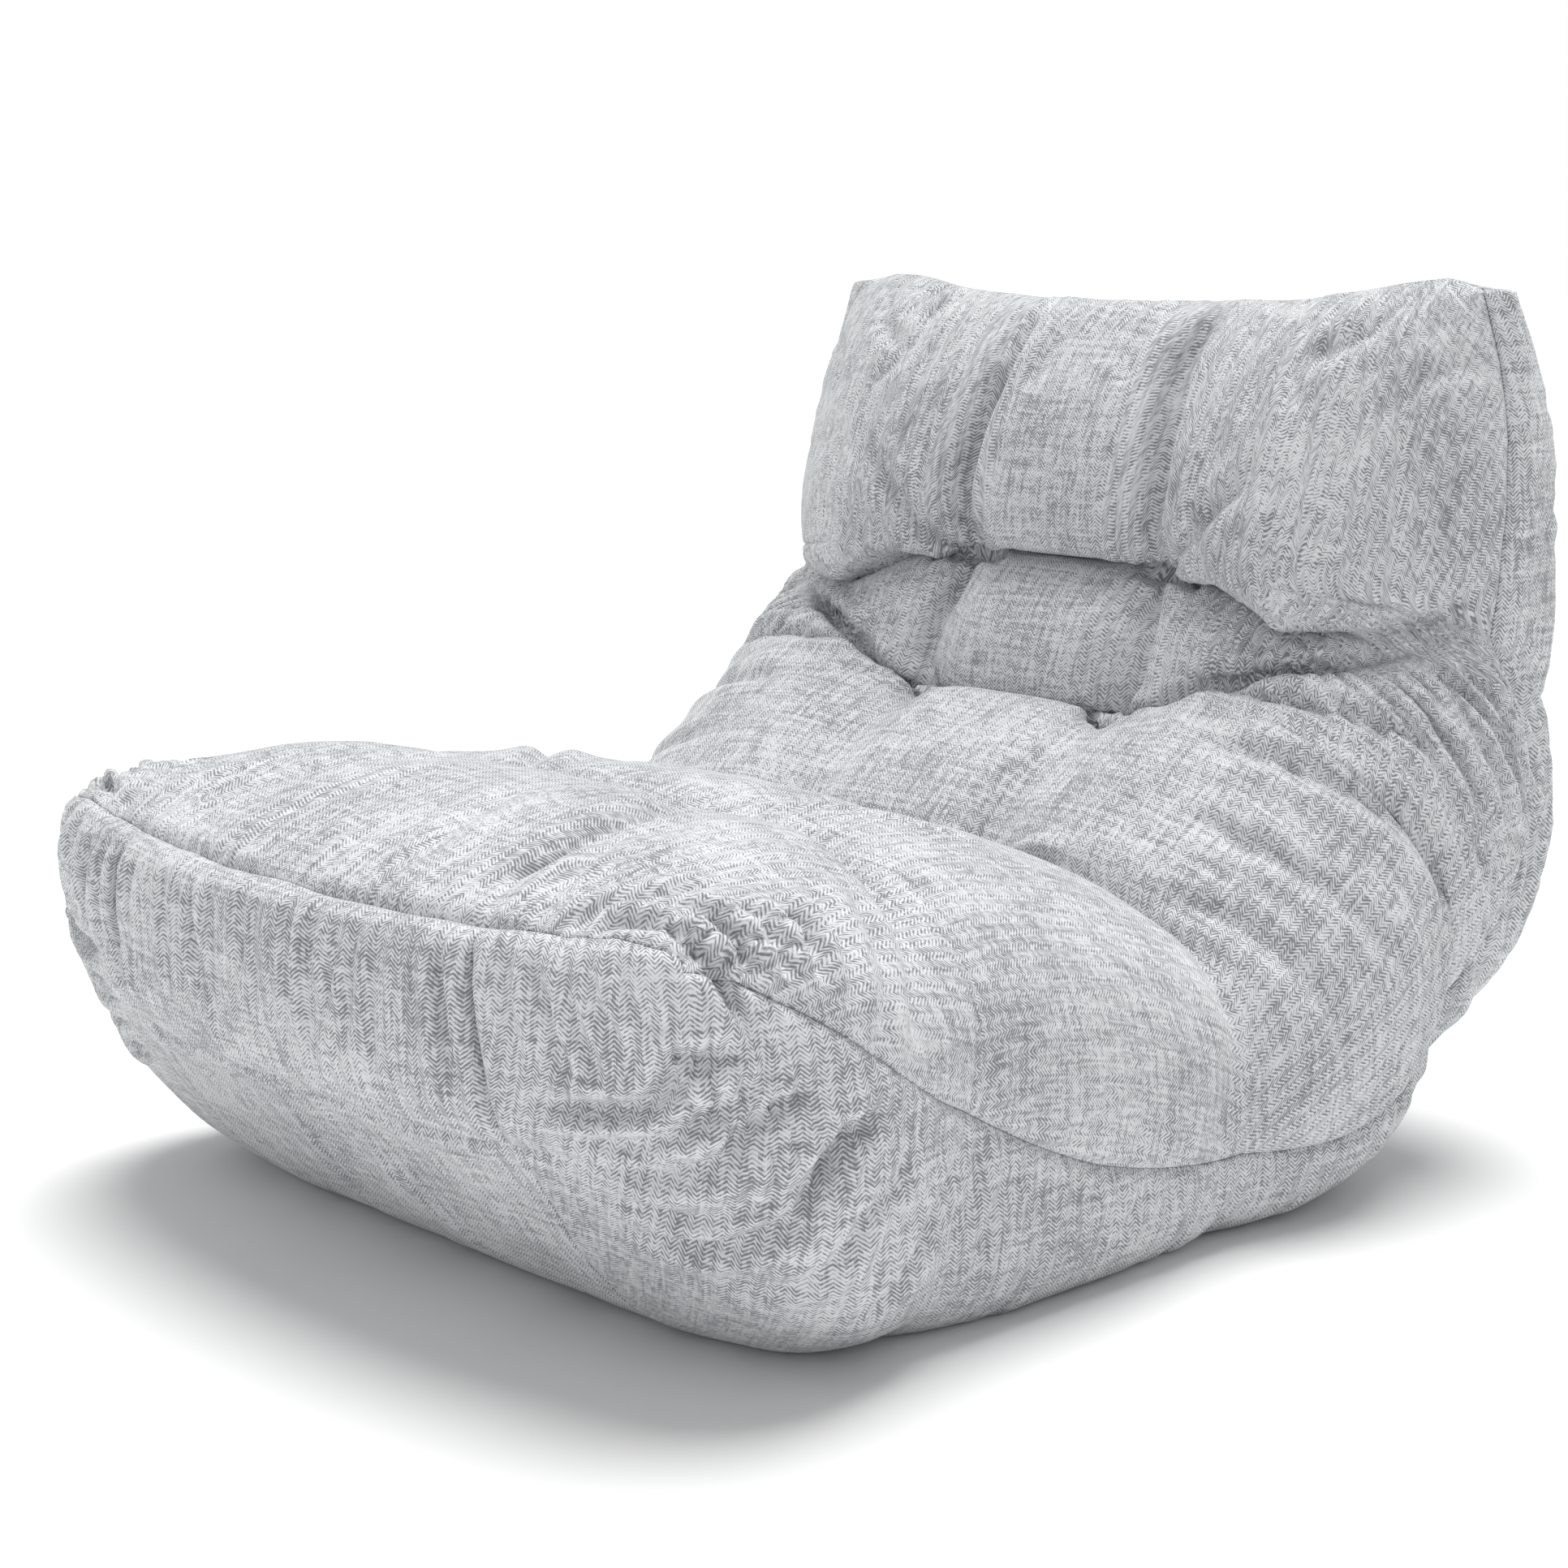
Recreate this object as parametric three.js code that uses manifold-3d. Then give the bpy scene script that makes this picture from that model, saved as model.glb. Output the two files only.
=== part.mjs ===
// A tufted lounger bean bag chair, in millimetres, +Z up, facing -Y, standing on z = 0.
// The body is a lens-like tube that runs from the front lip, under the seat and up the back. Every
// surface is a point of that tube: `row` counts the quilting rows from the front seam (0) to the top
// seam (5), and `angle` goes round the section from the top centre line (0) to the hull centre line (PI).
import * as THREE from "three";
import { mergeVertices } from "three/addons/utils/BufferGeometryUtils.js";
import Module from "manifold-3d";

// ---- driving dimensions ----

// One station at each tuft row: the top and hull points as [y, z], and the section's shape there.
// `widest` is the height of the widest line as a share of the section, the two `square` values are the
// exponents of its rounded corners, `seamAngle` is where the top panel is sewn to the side gore, and
// `gore` is half the width of the panels between the two side gores.
const stations = [
  { top: [-548, 388], hull: [-545, 198], halfWidth: 452, gore: 272, widest: 0.5,
    topSquare: 5, hullSquare: 5, seamAngle: 52 },
  { top: [-258, 392], hull: [-320, -22], halfWidth: 472, gore: 272, widest: 0.45,
    topSquare: 3.4, hullSquare: 3.8, seamAngle: 79 },
  { top: [110, 302], hull: [70, -22], halfWidth: 480, gore: 285, widest: 0.42,
    topSquare: 3.2, hullSquare: 4, seamAngle: 100 },
  { top: [318, 412], hull: [402, 75], halfWidth: 484, gore: 290, widest: 0.4,
    topSquare: 3.2, hullSquare: 3.8, seamAngle: 103 },
  { top: [410, 570], hull: [610, 420], halfWidth: 476, gore: 280, widest: 0.42,
    topSquare: 3.6, hullSquare: 3.8, seamAngle: 66 },
  { top: [517, 862], hull: [527, 862], halfWidth: 440, gore: 240, widest: 0.5,
    topSquare: 5, hullSquare: 5, seamAngle: 51 },
];
const rowCount = stations.length - 1;

const puffHeight = [36, 42, 60, 52, 80]; // how far each quilting row stands above its tuft lines
const puffRoundness = 0.6;
const columnDip = 0.35; // share of the puff lost along the two columns of tufts
const columnDipWidth = 0.07;
const sideFade = 0.4; // share of a half panel over which the puffs die out at the side seam
const hullBulge = [34, 0, 22, 30, 26]; // how far the hull swells between the stations
const frontBow = 62; // the front seam's bow towards the feet
const frontSag = 14; // and its dip at the middle
const frontSwell = 30; // the front band's own roundness
const topSag = 22; // the dip of the top seam between its two corners

const tuftX = 126; // the two columns of tufts, either side of the centre line
const bandHalf = 266; // half width of the front band
const bandEdge = 0.03; // share of the band's height left open at each sewn edge
const fabric = 2;
const seamGap = 0.004; // share of a panel's width left open at each sewn edge
const rowGap = 0.01; // the same along the rows, in rows

const stepsPerCell = 4; // facets across one quilted cell
const gapUnderCover = 2.4;
const padFloor = 6; // depth of the pads' flat undersides below the tuft lines
const padRowGap = 0.02;
const padColumnGap = 5;
const sideMargin = 0.09;
const backing = { depth: 10, thickness: 1.5, slotLength: 26, slotWidth: 6, slotDepth: 60 };

const strap = { width: 16, thickness: 2, topClearance: 3.5, hullClearance: 5.5 };
const liner = { depth: 28, thickness: 1.6, aisle: 4, frontY: -512, headZ: 745 };
const tubeRings = { first: 0.05, last: 4.75, count: 20 };
const mouth = { width: 90, height: 46, x: 185, reach: 20 };
const fillGap = 2.5;

const zip = { row: 3.2, half: 245, opening: 12 };
const zipTape = { width: 15, inner: 2.6, thickness: 1, depth: 3.2, overrun: 17 };
const zipTeeth = { inner: 0.6, outer: 2.3, top: 2.1, bottom: 5.3 };
const zipSlider = { length: 14, width: 10, top: 1.7, bottom: 5.7, plate: 2, web: 0.6 };
const zipStop = { length: 3, width: 5 };
const clearance = 0.3;

const colours = {
  fabric: 0xb4b6b7, fibre: 0xf2f1ec, scrim: 0xe4e3de, liner: 0xe9e9e6, beads: 0xfafafa,
  webbing: 0xc9c8c3, zip: 0xa4a6a7, metal: 0x9b9da0,
};

// ---- the body's shape ----

const wasm = await Module();
wasm.setup();

// A smooth curve through one vector per station, read by row.
function stationCurve(pick) {
  const curve = new THREE.CatmullRomCurve3(stations.map(pick), false, "catmullrom", 0.5);
  return (row) => curve.getPoint(THREE.MathUtils.clamp(row / rowCount, 0, 1));
}

const topLine = stationCurve(({ top, halfWidth }) => new THREE.Vector3(halfWidth, ...top));
const hullLine = stationCurve(({ hull, gore }) => new THREE.Vector3(gore, ...hull));
const squareness = stationCurve((s) => new THREE.Vector3(s.widest, s.topSquare, s.hullSquare));
const seamLine = stationCurve((s) => new THREE.Vector3(THREE.MathUtils.degToRad(s.seamAngle), 0, 0));

const cellOf = (row) => Math.min(Math.floor(row), rowCount - 1);

// The section at a row: its two centre points, its half width and its shape.
function section(row) {
  const top = topLine(row);
  const hull = hullLine(row);
  const cell = cellOf(row);
  const swell = hullBulge[cell] * Math.sin(Math.PI * (row - cell));
  const step = 0.01;
  const run = hullLine(row + step).sub(hullLine(row - step));
  const outward = new THREE.Vector2(run.z, -run.y).normalize();
  const shape = squareness(row);
  return {
    halfWidth: top.x + swell,
    gore: hull.x,
    top: [top.y, top.z],
    hull: [hull.y + outward.x * swell, hull.z + outward.y * swell],
    widest: shape.x,
    topSquare: shape.y,
    hullSquare: shape.z,
    seamAngle: seamLine(row).x,
  };
}

// A point of a section's plane: x across, and `share` from the hull's centre (0) to the top's (1).
function sectionPoint(row, s, x, share) {
  const middle = 1 - Math.min(Math.abs(x) / s.halfWidth, 1) ** 2;
  const front = Math.max(1 - row, 0) ** 2;
  const back = Math.max(row - rowCount + 1, 0) ** 2;
  const y = THREE.MathUtils.lerp(s.hull[0], s.top[0], share) - frontBow * middle * front;
  const z = THREE.MathUtils.lerp(s.hull[1], s.top[1], share);
  const drop = middle * (frontSag * front * share + topSag * back);
  return new THREE.Vector3(x, y, Math.max(z - drop, 0));
}

// The height of a section's rounded outline above its widest line, 0 to 1, at a share of its half width.
const outlineHeight = (across, square) => (1 - Math.min(across, 1) ** square) ** (1 / square);

// The angle at which the top or hull half of a section is `x` from the centre line.
function angleOfX(s, x, square) {
  const across = Math.min(x / s.halfWidth, 1);
  return Math.atan2(across, outlineHeight(across, square));
}

// The smooth body surface, without the quilting. The sign of the angle is the side.
function bodyPoint(row, angle) {
  const s = section(row);
  const onTop = Math.abs(angle) <= Math.PI / 2;
  const square = onTop ? s.topSquare : s.hullSquare;
  const [sine, cosine] = [Math.abs(Math.sin(angle)), Math.abs(Math.cos(angle))];
  const reach = (sine ** square + cosine ** square) ** (-1 / square);
  const goreHeight = outlineHeight(s.gore / s.halfWidth, s.hullSquare);
  const share = onTop
    ? s.widest + (1 - s.widest) * reach * cosine
    : s.widest * Math.max(1 - (reach * cosine) / goreHeight, 0);
  return sectionPoint(row, s, Math.sign(angle) * s.halfWidth * reach * sine, share);
}

// The angle a given share of the way along a section's outline between two angles, by length.
function angleAlong(row, from, to, share) {
  const samples = 24;
  const angles = Array.from({ length: samples + 1 }, (_, i) => THREE.MathUtils.lerp(from, to, i / samples));
  const points = angles.map((angle) => bodyPoint(row, angle));
  const lengths = [0];
  points.slice(1).forEach((p, i) => lengths.push(lengths[i] + p.distanceTo(points[i])));
  const target = share * lengths[samples];
  const next = Math.max(lengths.findIndex((length) => length >= target), 1);
  const within = (target - lengths[next - 1]) / (lengths[next] - lengths[next - 1] || 1);
  return THREE.MathUtils.lerp(angles[next - 1], angles[next], within);
}

// The top panel's angle at `across`: -1 and 1 are the side seams, and a third either side are the tufts.
function topAngle(row, across) {
  const s = section(row);
  const share = Math.abs(across);
  const tuftAngle = angleOfX(s, tuftX, s.topSquare);
  const angle = share <= 1 / 3
    ? angleOfX(s, 3 * share * tuftX, s.topSquare)
    : angleAlong(row, tuftAngle, s.seamAngle, (share - 1 / 3) * 1.5);
  return Math.sign(across) * angle;
}

// How far the quilting stands above the body surface.
function puff(row, across) {
  const cell = cellOf(row);
  const crown = Math.abs(Math.sin(Math.PI * (row - cell))) ** puffRoundness;
  const fromTufts = (Math.abs(across) - 1 / 3) / columnDipWidth;
  const column = 1 - columnDip * Math.exp(-(fromTufts ** 2));
  const side = Math.min((1 - Math.abs(across)) / sideFade, 1) ** 0.7;
  return puffHeight[cell] * crown * column * side;
}

const topPoint = (row, across) => bodyPoint(row, topAngle(row, across));

// The angle of the line where the side gore is sewn to the base or the back.
function goreAngle(row) {
  const s = section(row);
  return Math.PI - angleOfX(s, s.gore, s.hullSquare);
}

// ---- solids from surfaces ----

const lerp = THREE.MathUtils.lerp;

// Values from `from` to `to` in equal steps.
const spread = (from, to, steps) => Array.from({ length: steps + 1 }, (_, i) => lerp(from, to, i / steps));

// The outward unit normal of surface(u, v), where u x v faces outward when `handed` is 1.
function normalOf(surface, u, v, handed) {
  const h = 1e-3;
  const alongU = surface(u + h, v).sub(surface(u - h, v));
  const alongV = surface(u, v + h).sub(surface(u, v - h));
  return alongU.cross(alongV).multiplyScalar(handed).normalize();
}

function closedGeometry(points, faces) {
  const geometry = new THREE.BufferGeometry().setFromPoints(points);
  geometry.setIndex(faces);
  return geometry;
}

// A closed sheet: the grid of surface(u, v), from `outer` to `inner` along its normal.
function sheet({ surface, us, vs, outer, inner, handed = 1 }) {
  const layer = (offset) => us.flatMap((u) => vs.map((v) => {
    const lift = typeof offset === "function" ? offset(u, v) : offset;
    return surface(u, v).addScaledVector(normalOf(surface, u, v, handed), lift);
  }));
  const points = [...layer(outer), ...layer(inner)];
  const under = points.length / 2;
  const stepsU = us.length - 1;
  const stepsV = vs.length - 1;
  const at = (i, j) => i * vs.length + j;
  const faces = [];
  const quad = (p, q, r, t) => faces.push(...(handed > 0 ? [p, q, r, p, r, t] : [p, r, q, p, t, r]));
  for (let i = 0; i < stepsU; i++) {
    for (let j = 0; j < stepsV; j++) {
      quad(at(i, j), at(i + 1, j), at(i + 1, j + 1), at(i, j + 1));
      quad(under + at(i, j), under + at(i, j + 1), under + at(i + 1, j + 1), under + at(i + 1, j));
    }
  }
  for (let i = 0; i < stepsU; i++) {
    quad(at(i + 1, 0), at(i, 0), under + at(i, 0), under + at(i + 1, 0));
    quad(at(i, stepsV), at(i + 1, stepsV), under + at(i + 1, stepsV), under + at(i, stepsV));
  }
  for (let j = 0; j < stepsV; j++) {
    quad(at(0, j), at(0, j + 1), under + at(0, j + 1), under + at(0, j));
    quad(at(stepsU, j + 1), at(stepsU, j), under + at(stepsU, j), under + at(stepsU, j + 1));
  }
  return closedGeometry(points, faces);
}

// The body, inset by `depth`, as one closed tube.
function tube(depth) {
  const rings = spread(tubeRings.first, tubeRings.last, tubeRings.count);
  const topSteps = 8;
  const hullSteps = 5;
  const insetPoint = (row, angle) => {
    const h = 1e-3;
    const alongRow = bodyPoint(row + h, angle).sub(bodyPoint(row - h, angle));
    const round = bodyPoint(row, angle + h).sub(bodyPoint(row, angle - h));
    return bodyPoint(row, angle).addScaledVector(round.cross(alongRow).normalize(), -depth);
  };
  const ringPoints = (row) => {
    const half = (from, to, steps) => spread(0, 1, steps).map((share) => angleAlong(row, from, to, share));
    const right = [
      ...half(0.02, Math.PI / 2 - 0.02, topSteps),
      ...half(Math.PI / 2 + 0.02, Math.PI - 0.02, hullSteps),
    ];
    return [...right, ...right.map((angle) => -angle).reverse()].map((angle) => insetPoint(row, angle));
  };
  const perRing = 2 * (topSteps + hullSteps + 2);
  const points = rings.flatMap(ringPoints);
  const faces = [];
  for (let i = 0; i + 1 < rings.length; i++) {
    for (let j = 0; j < perRing; j++) {
      const k = (j + 1) % perRing;
      const [p, q, r, t] = [i * perRing + j, i * perRing + k, (i + 1) * perRing + k, (i + 1) * perRing + j];
      faces.push(p, q, r, p, r, t);
    }
  }
  const last = (rings.length - 1) * perRing;
  for (let j = 0; j + 1 < perRing / 2; j++) {
    const [left, leftNext] = [perRing - 1 - j, perRing - 2 - j];
    faces.push(j, left, leftNext, j, leftNext, j + 1);
    faces.push(last + j, last + leftNext, last + left, last + j, last + j + 1, last + leftNext);
  }
  return closedGeometry(points, faces);
}

// ---- manifold helpers ----

function toSolid(geometry, matrix = new THREE.Matrix4()) {
  const bare = geometry.clone().applyMatrix4(matrix);
  bare.deleteAttribute("normal");
  bare.deleteAttribute("uv");
  const merged = mergeVertices(bare, 1e-3);
  const mesh = new wasm.Mesh({
    numProp: 3,
    vertProperties: new Float32Array(merged.attributes.position.array),
    triVerts: new Uint32Array(merged.index.array),
  });
  return new wasm.Manifold(mesh);
}

function toGeometry(solid) {
  const mesh = solid.getMesh();
  const geometry = new THREE.BufferGeometry();
  geometry.setAttribute("position", new THREE.BufferAttribute(new Float32Array(mesh.vertProperties), 3));
  geometry.setIndex(new THREE.BufferAttribute(new Uint32Array(mesh.triVerts), 1));
  return geometry;
}

function boxSolid(size, place) {
  return toSolid(new THREE.BoxGeometry(...size), place);
}

// ---- materials and the group ----

const chair = new THREE.Group();

const cloth = (color, roughness = 0.95) => new THREE.MeshStandardMaterial({ color, roughness, metalness: 0 });
const metal = new THREE.MeshStandardMaterial({ color: colours.metal, roughness: 0.4, metalness: 0.9 });

function addMesh(name, geometry, material, parent = chair) {
  const mesh = new THREE.Mesh(geometry, material);
  mesh.name = name;
  parent.add(mesh);
  return mesh;
}

const sides = [["left", 1], ["right", -1]]; // the sitter's left is +X

// ---- the cover ----

// The quilting's grid, which the cover, the pads and their backing share: a cell's own lines stop short
// of the tuft lines around it, and the cover has a line on the tufts too.
const columnMargin = padColumnGap / (3 * tuftX);
const rowLines = (cell) => spread(cell + padRowGap, cell + 1 - padRowGap, stepsPerCell);
const padReach = 1 - sideMargin; // the outer pads stop short of the side seams
const columnLines = (column) => spread(
  Math.max(lerp(-1, 1, column / 3) + columnMargin, -padReach),
  Math.min(lerp(-1, 1, (column + 1) / 3) - columnMargin, padReach),
  stepsPerCell,
);
const cells = [0, 1, 2, 3, 4];
const columns = [0, 1, 2];
const coverRows = [...cells.flatMap((cell) => [cell || rowGap, ...rowLines(cell)]), rowCount - rowGap];
const coverColumns = [
  -1 + 2 * seamGap,
  ...columns.flatMap((column) => [...columnLines(column), lerp(-1, 1, (column + 1) / 3)]).slice(0, -1),
  1 - 2 * seamGap,
];

function addTopPanel() {
  addMesh("cover_top_panel", sheet({
    surface: topPoint,
    us: coverRows,
    vs: coverColumns,
    outer: puff,
    inner: (row, across) => puff(row, across) - fabric,
    handed: -1,
  }), cloth(colours.fabric));
}

// The chair's front face: x across, and `share` from its lower edge to its upper one.
function frontFace(x, share) {
  const s = section(0);
  const out = (Math.abs(x) / s.halfWidth) ** s.topSquare + Math.abs(2 * share - 1) ** s.topSquare;
  const point = sectionPoint(0, s, x, share);
  point.y -= frontSwell * Math.max(1 - out, 0);
  return point;
}

// How far the front face reaches above and below its middle, as a share of its height.
function frontEdgeShare(x) {
  const s = section(0);
  return 0.5 * outlineHeight(Math.abs(x) / s.halfWidth, s.topSquare);
}

function addFrontBand() {
  addMesh("cover_front_band", sheet({
    surface: (x, share) => {
      const reach = frontEdgeShare(x);
      return frontFace(x, lerp(0.5 - reach, 0.5 + reach, share));
    },
    us: spread(-bandHalf, bandHalf, 8),
    vs: spread(bandEdge, 1 - bandEdge, 5),
    outer: 0,
    inner: -fabric,
  }), cloth(colours.fabric));
}

// A side gore runs from the back's top corner to the front, where it turns onto the front face as far as
// the front band. Rows below zero are that turned part.
function sideGorePoint(side, row, share) {
  const from = Math.max(row, rowGap);
  const angle = angleAlong(from, section(from).seamAngle, goreAngle(from), share);
  if (row >= 0) return bodyPoint(from, side * angle);
  const s = section(0);
  const turn = angleAlong(0, s.seamAngle, goreAngle(0), share);
  const reach = frontEdgeShare(bandHalf + 4);
  const rim = bodyPoint(0, turn);
  const rimShare = (rim.z - s.hull[1]) / (s.top[1] - s.hull[1]);
  const bandShare = lerp(0.5 + reach, 0.5 - reach, lerp(bandEdge, 1 - bandEdge, share));
  return frontFace(side * lerp(rim.x, bandHalf + 4, -row), lerp(rimShare, bandShare, -row));
}

function addSideGores() {
  for (const [name, side] of sides) {
    addMesh(`cover_side_${name}`, sheet({
      surface: (row, share) => sideGorePoint(side, row, share),
      us: [...spread(-1, 0, 4), ...spread(0, rowCount - rowGap, 24).slice(1)],
      vs: spread(seamGap, 1 - seamGap, 6),
      outer: 0,
      inner: -fabric,
      handed: -side,
    }), cloth(colours.fabric));
  }
}

// Half of the zip's opening, in rows.
const zipPoint = bodyPoint(zip.row, Math.PI);
const zipRun = bodyPoint(zip.row + 0.01, Math.PI).sub(bodyPoint(zip.row - 0.01, Math.PI));
const zipRowGap = ((zip.opening / 2) / zipRun.length()) * 0.02;
const zipNear = 0.07; // the panels' next grid line, so that they lie flat over the tapes

// A point of the hull between the gores: across runs from -1 at one gore to 1 at the other.
function hullPoint(row, across) {
  const x = across * (hullLine(row).x - 1.5);
  const s = section(row);
  return sectionPoint(row, s, x, 0);
}

function addBase() {
  for (const [name, side] of sides) {
    addMesh(`cover_base_${name}`, sheet({
      surface: (row, across) => hullPoint(row, side * across),
      us: [...spread(rowGap, zip.row - zipNear, 16), zip.row - zipRowGap],
      vs: spread(seamGap, 1, 3),
      outer: 0,
      inner: -fabric,
      handed: side,
    }), cloth(colours.fabric));
  }
}

function addBack() {
  addMesh("cover_back_panel", sheet({
    surface: hullPoint,
    us: [zip.row + zipRowGap, ...spread(zip.row + zipNear, rowCount - rowGap, 9)],
    vs: spread(-1, 1, 6),
    outer: 0,
    inner: -fabric,
  }), cloth(colours.fabric));
}

// ---- the quilting ----

// Each pad fills one cell, from just under the cover down to a smooth underside.
function addPads() {
  const columnNames = ["right", "centre", "left"];
  for (const cell of cells) {
    for (const column of columns) {
      addMesh(`quilt_pad_row${cell + 1}_${columnNames[column]}`, sheet({
        surface: topPoint,
        us: rowLines(cell),
        vs: columnLines(column),
        outer: (row, across) => puff(row, across) - fabric - gapUnderCover,
        inner: -padFloor,
        handed: -1,
      }), cloth(colours.fibre));
    }
  }
}

// The straight line of a tuft strap, from the cover's tuft to the hull, in the plane of its column.
function strapLine(row, side) {
  const top = topPoint(row, side / 3);
  const hull = hullPoint(row, (side * tuftX) / hullLine(row).x);
  hull.x = top.x;
  return { top, hull, down: hull.clone().sub(top).normalize() };
}

function placeAlong(direction, position) {
  const across = new THREE.Vector3(1, 0, 0);
  const along = new THREE.Vector3().crossVectors(direction, across).normalize();
  return new THREE.Matrix4().makeBasis(across, along, direction).setPosition(position);
}

const tufts = cells.slice(1).flatMap((row) => sides.map(([name, side]) => ({
  name: `row${row}_${name}`,
  line: strapLine(row, side),
})));

function addBacking() {
  const whole = sheet({
    surface: topPoint,
    us: cells.flatMap(rowLines).slice(0, -1),
    vs: columns.flatMap(columnLines).slice(1, -1),
    outer: -backing.depth,
    inner: -backing.depth - backing.thickness,
    handed: -1,
  });
  const slotSize = [backing.slotWidth, backing.slotLength, backing.slotDepth];
  const slotted = tufts.reduce(
    (solid, { line }) => solid.subtract(boxSolid(slotSize, placeAlong(line.down, line.top))),
    toSolid(whole),
  );
  addMesh("quilt_backing", toGeometry(slotted), cloth(colours.scrim));
}

function addStraps() {
  for (const { name, line } of tufts) {
    const start = line.top.clone().addScaledVector(line.down, strap.topClearance);
    const end = line.hull.clone().addScaledVector(line.down, -strap.hullClearance);
    const geometry = new THREE.BoxGeometry(strap.thickness, strap.width, start.distanceTo(end));
    const mesh = addMesh(`tuft_strap_${name}`, geometry, cloth(colours.webbing));
    mesh.applyMatrix4(placeAlong(line.down, start.add(end).multiplyScalar(0.5)));
  }
}

// ---- the filling ----

// Three long bags side by side, so that the straps run down the two aisles between them.
function addBags() {
  const shellOuter = toSolid(tube(liner.depth));
  const shellInner = toSolid(tube(liner.depth + liner.thickness));
  const fill = toSolid(tube(liner.depth + liner.thickness + fillGap));
  const bags = [
    ["left", tuftX + liner.aisle, stations[0].halfWidth, mouth.x],
    ["centre", -tuftX + liner.aisle, tuftX - liner.aisle, 0],
    ["right", -stations[0].halfWidth, -tuftX - liner.aisle, -mouth.x],
  ];
  const outward = new THREE.Vector3(0, zipRun.z, -zipRun.y).normalize();
  for (const [name, from, to, mouthX] of bags) {
    // The space between the bag's flat ends and its aisles, pulled in by `inset` on every side.
    const cell = (inset) => {
      const frontY = liner.frontY + inset;
      const headZ = liner.headZ - inset;
      const size = [to - from - 2 * inset, 2 * Math.abs(frontY), 2 * headZ];
      return boxSolid(size, new THREE.Matrix4().makeTranslation((from + to) / 2, frontY + size[1] / 2, 0));
    };
    const shell = shellOuter.intersect(cell(0)).subtract(shellInner.intersect(cell(liner.thickness)));
    const mouthPlace = placeAlong(outward, zipPoint.clone().setX(mouthX));
    const opening = boxSolid([mouth.width, mouth.height, 2 * liner.depth + mouth.reach], mouthPlace);
    addMesh(`liner_${name}`, toGeometry(shell.subtract(opening)), cloth(colours.liner, 0.8));
    const beads = fill.intersect(cell(liner.thickness + fillGap));
    addMesh(`bead_fill_${name}`, toGeometry(beads), cloth(colours.beads, 0.7));
  }
}

// ---- the zip ----

// The zip lies straight across the low back. Its group's axes, seen from behind, are x along the zip to
// the right, y up the panel and z out of the chair, with z = 0 on the cover's outer face.
function addZip() {
  const group = new THREE.Group();
  const along = new THREE.Vector3(-1, 0, 0);
  const outward = new THREE.Vector3(0, zipRun.z, -zipRun.y).normalize();
  const up = new THREE.Vector3().crossVectors(outward, along);
  group.applyMatrix4(new THREE.Matrix4().makeBasis(along, up, outward).setPosition(zipPoint));
  chair.add(group);

  const block = (name, size, centre, material) => {
    addMesh(name, new THREE.BoxGeometry(...size), material, group).position.set(...centre);
  };
  const teethHeight = zipTeeth.bottom - zipTeeth.top;
  const teethDepth = -(zipTeeth.bottom + zipTeeth.top) / 2;
  for (const [name, way] of [["back", 1], ["base", -1]]) {
    const tapeY = way * (zipTape.inner + zipTape.width / 2);
    const tapeZ = -zipTape.depth - zipTape.thickness / 2;
    const tapeSize = [2 * (zip.half + zipTape.overrun), zipTape.width, zipTape.thickness];
    block(`zip_tape_${name}`, tapeSize, [0, tapeY, tapeZ], cloth(colours.zip));
    const teethY = (way * (zipTeeth.inner + zipTeeth.outer)) / 2;
    const teethSize = [2 * zip.half, zipTeeth.outer - zipTeeth.inner, teethHeight];
    block(`zip_teeth_${name}`, teethSize, [0, teethY, teethDepth], cloth(colours.zip, 0.5));
  }
  for (const [name, side] of sides) {
    const x = -side * (zip.half + clearance + zipStop.length / 2);
    block(`zip_stop_${name}`, [zipStop.length, zipStop.width, teethHeight], [x, 0, teethDepth], metal);
  }
  addMesh("zip_slider", sliderGeometry(), metal, group).position.x = -(zip.half - zipSlider.length / 2);
}

// Two plates joined by a thin web that runs between the two rows of teeth.
function sliderGeometry() {
  const { length, width, top, bottom, plate, web } = zipSlider;
  const half = width / 2;
  const nose = length / 4;
  const plateShape = new THREE.Shape();
  plateShape.moveTo(-length / 2, -half * 0.6);
  plateShape.lineTo(nose, -half);
  plateShape.lineTo(length / 2, -half * 0.7);
  plateShape.lineTo(length / 2, half * 0.7);
  plateShape.lineTo(nose, half);
  plateShape.lineTo(-length / 2, half * 0.6);
  plateShape.closePath();
  const plateAt = (z, depth) => toSolid(
    new THREE.ExtrudeGeometry(plateShape, { depth, bevelEnabled: false }),
    new THREE.Matrix4().makeTranslation(0, 0, z),
  );
  const webPlace = new THREE.Matrix4().makeTranslation(0, 0, -(top + bottom) / 2);
  const webSolid = boxSolid([length * 0.6, web, bottom - top + plate], webPlace);
  return toGeometry(plateAt(-top, plate).add(plateAt(-bottom - plate * 0.75, plate * 0.75)).add(webSolid));
}

addTopPanel();
addFrontBand();
addSideGores();
addBase();
addBack();
addPads();
addBacking();
addStraps();
addBags();
addZip();

// The origin is under the middle of the chair's own box.
const bounds = new THREE.Box3().setFromObject(chair, true);
chair.position.y = -(bounds.min.y + bounds.max.y) / 2;

export default chair;
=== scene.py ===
import math

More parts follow.
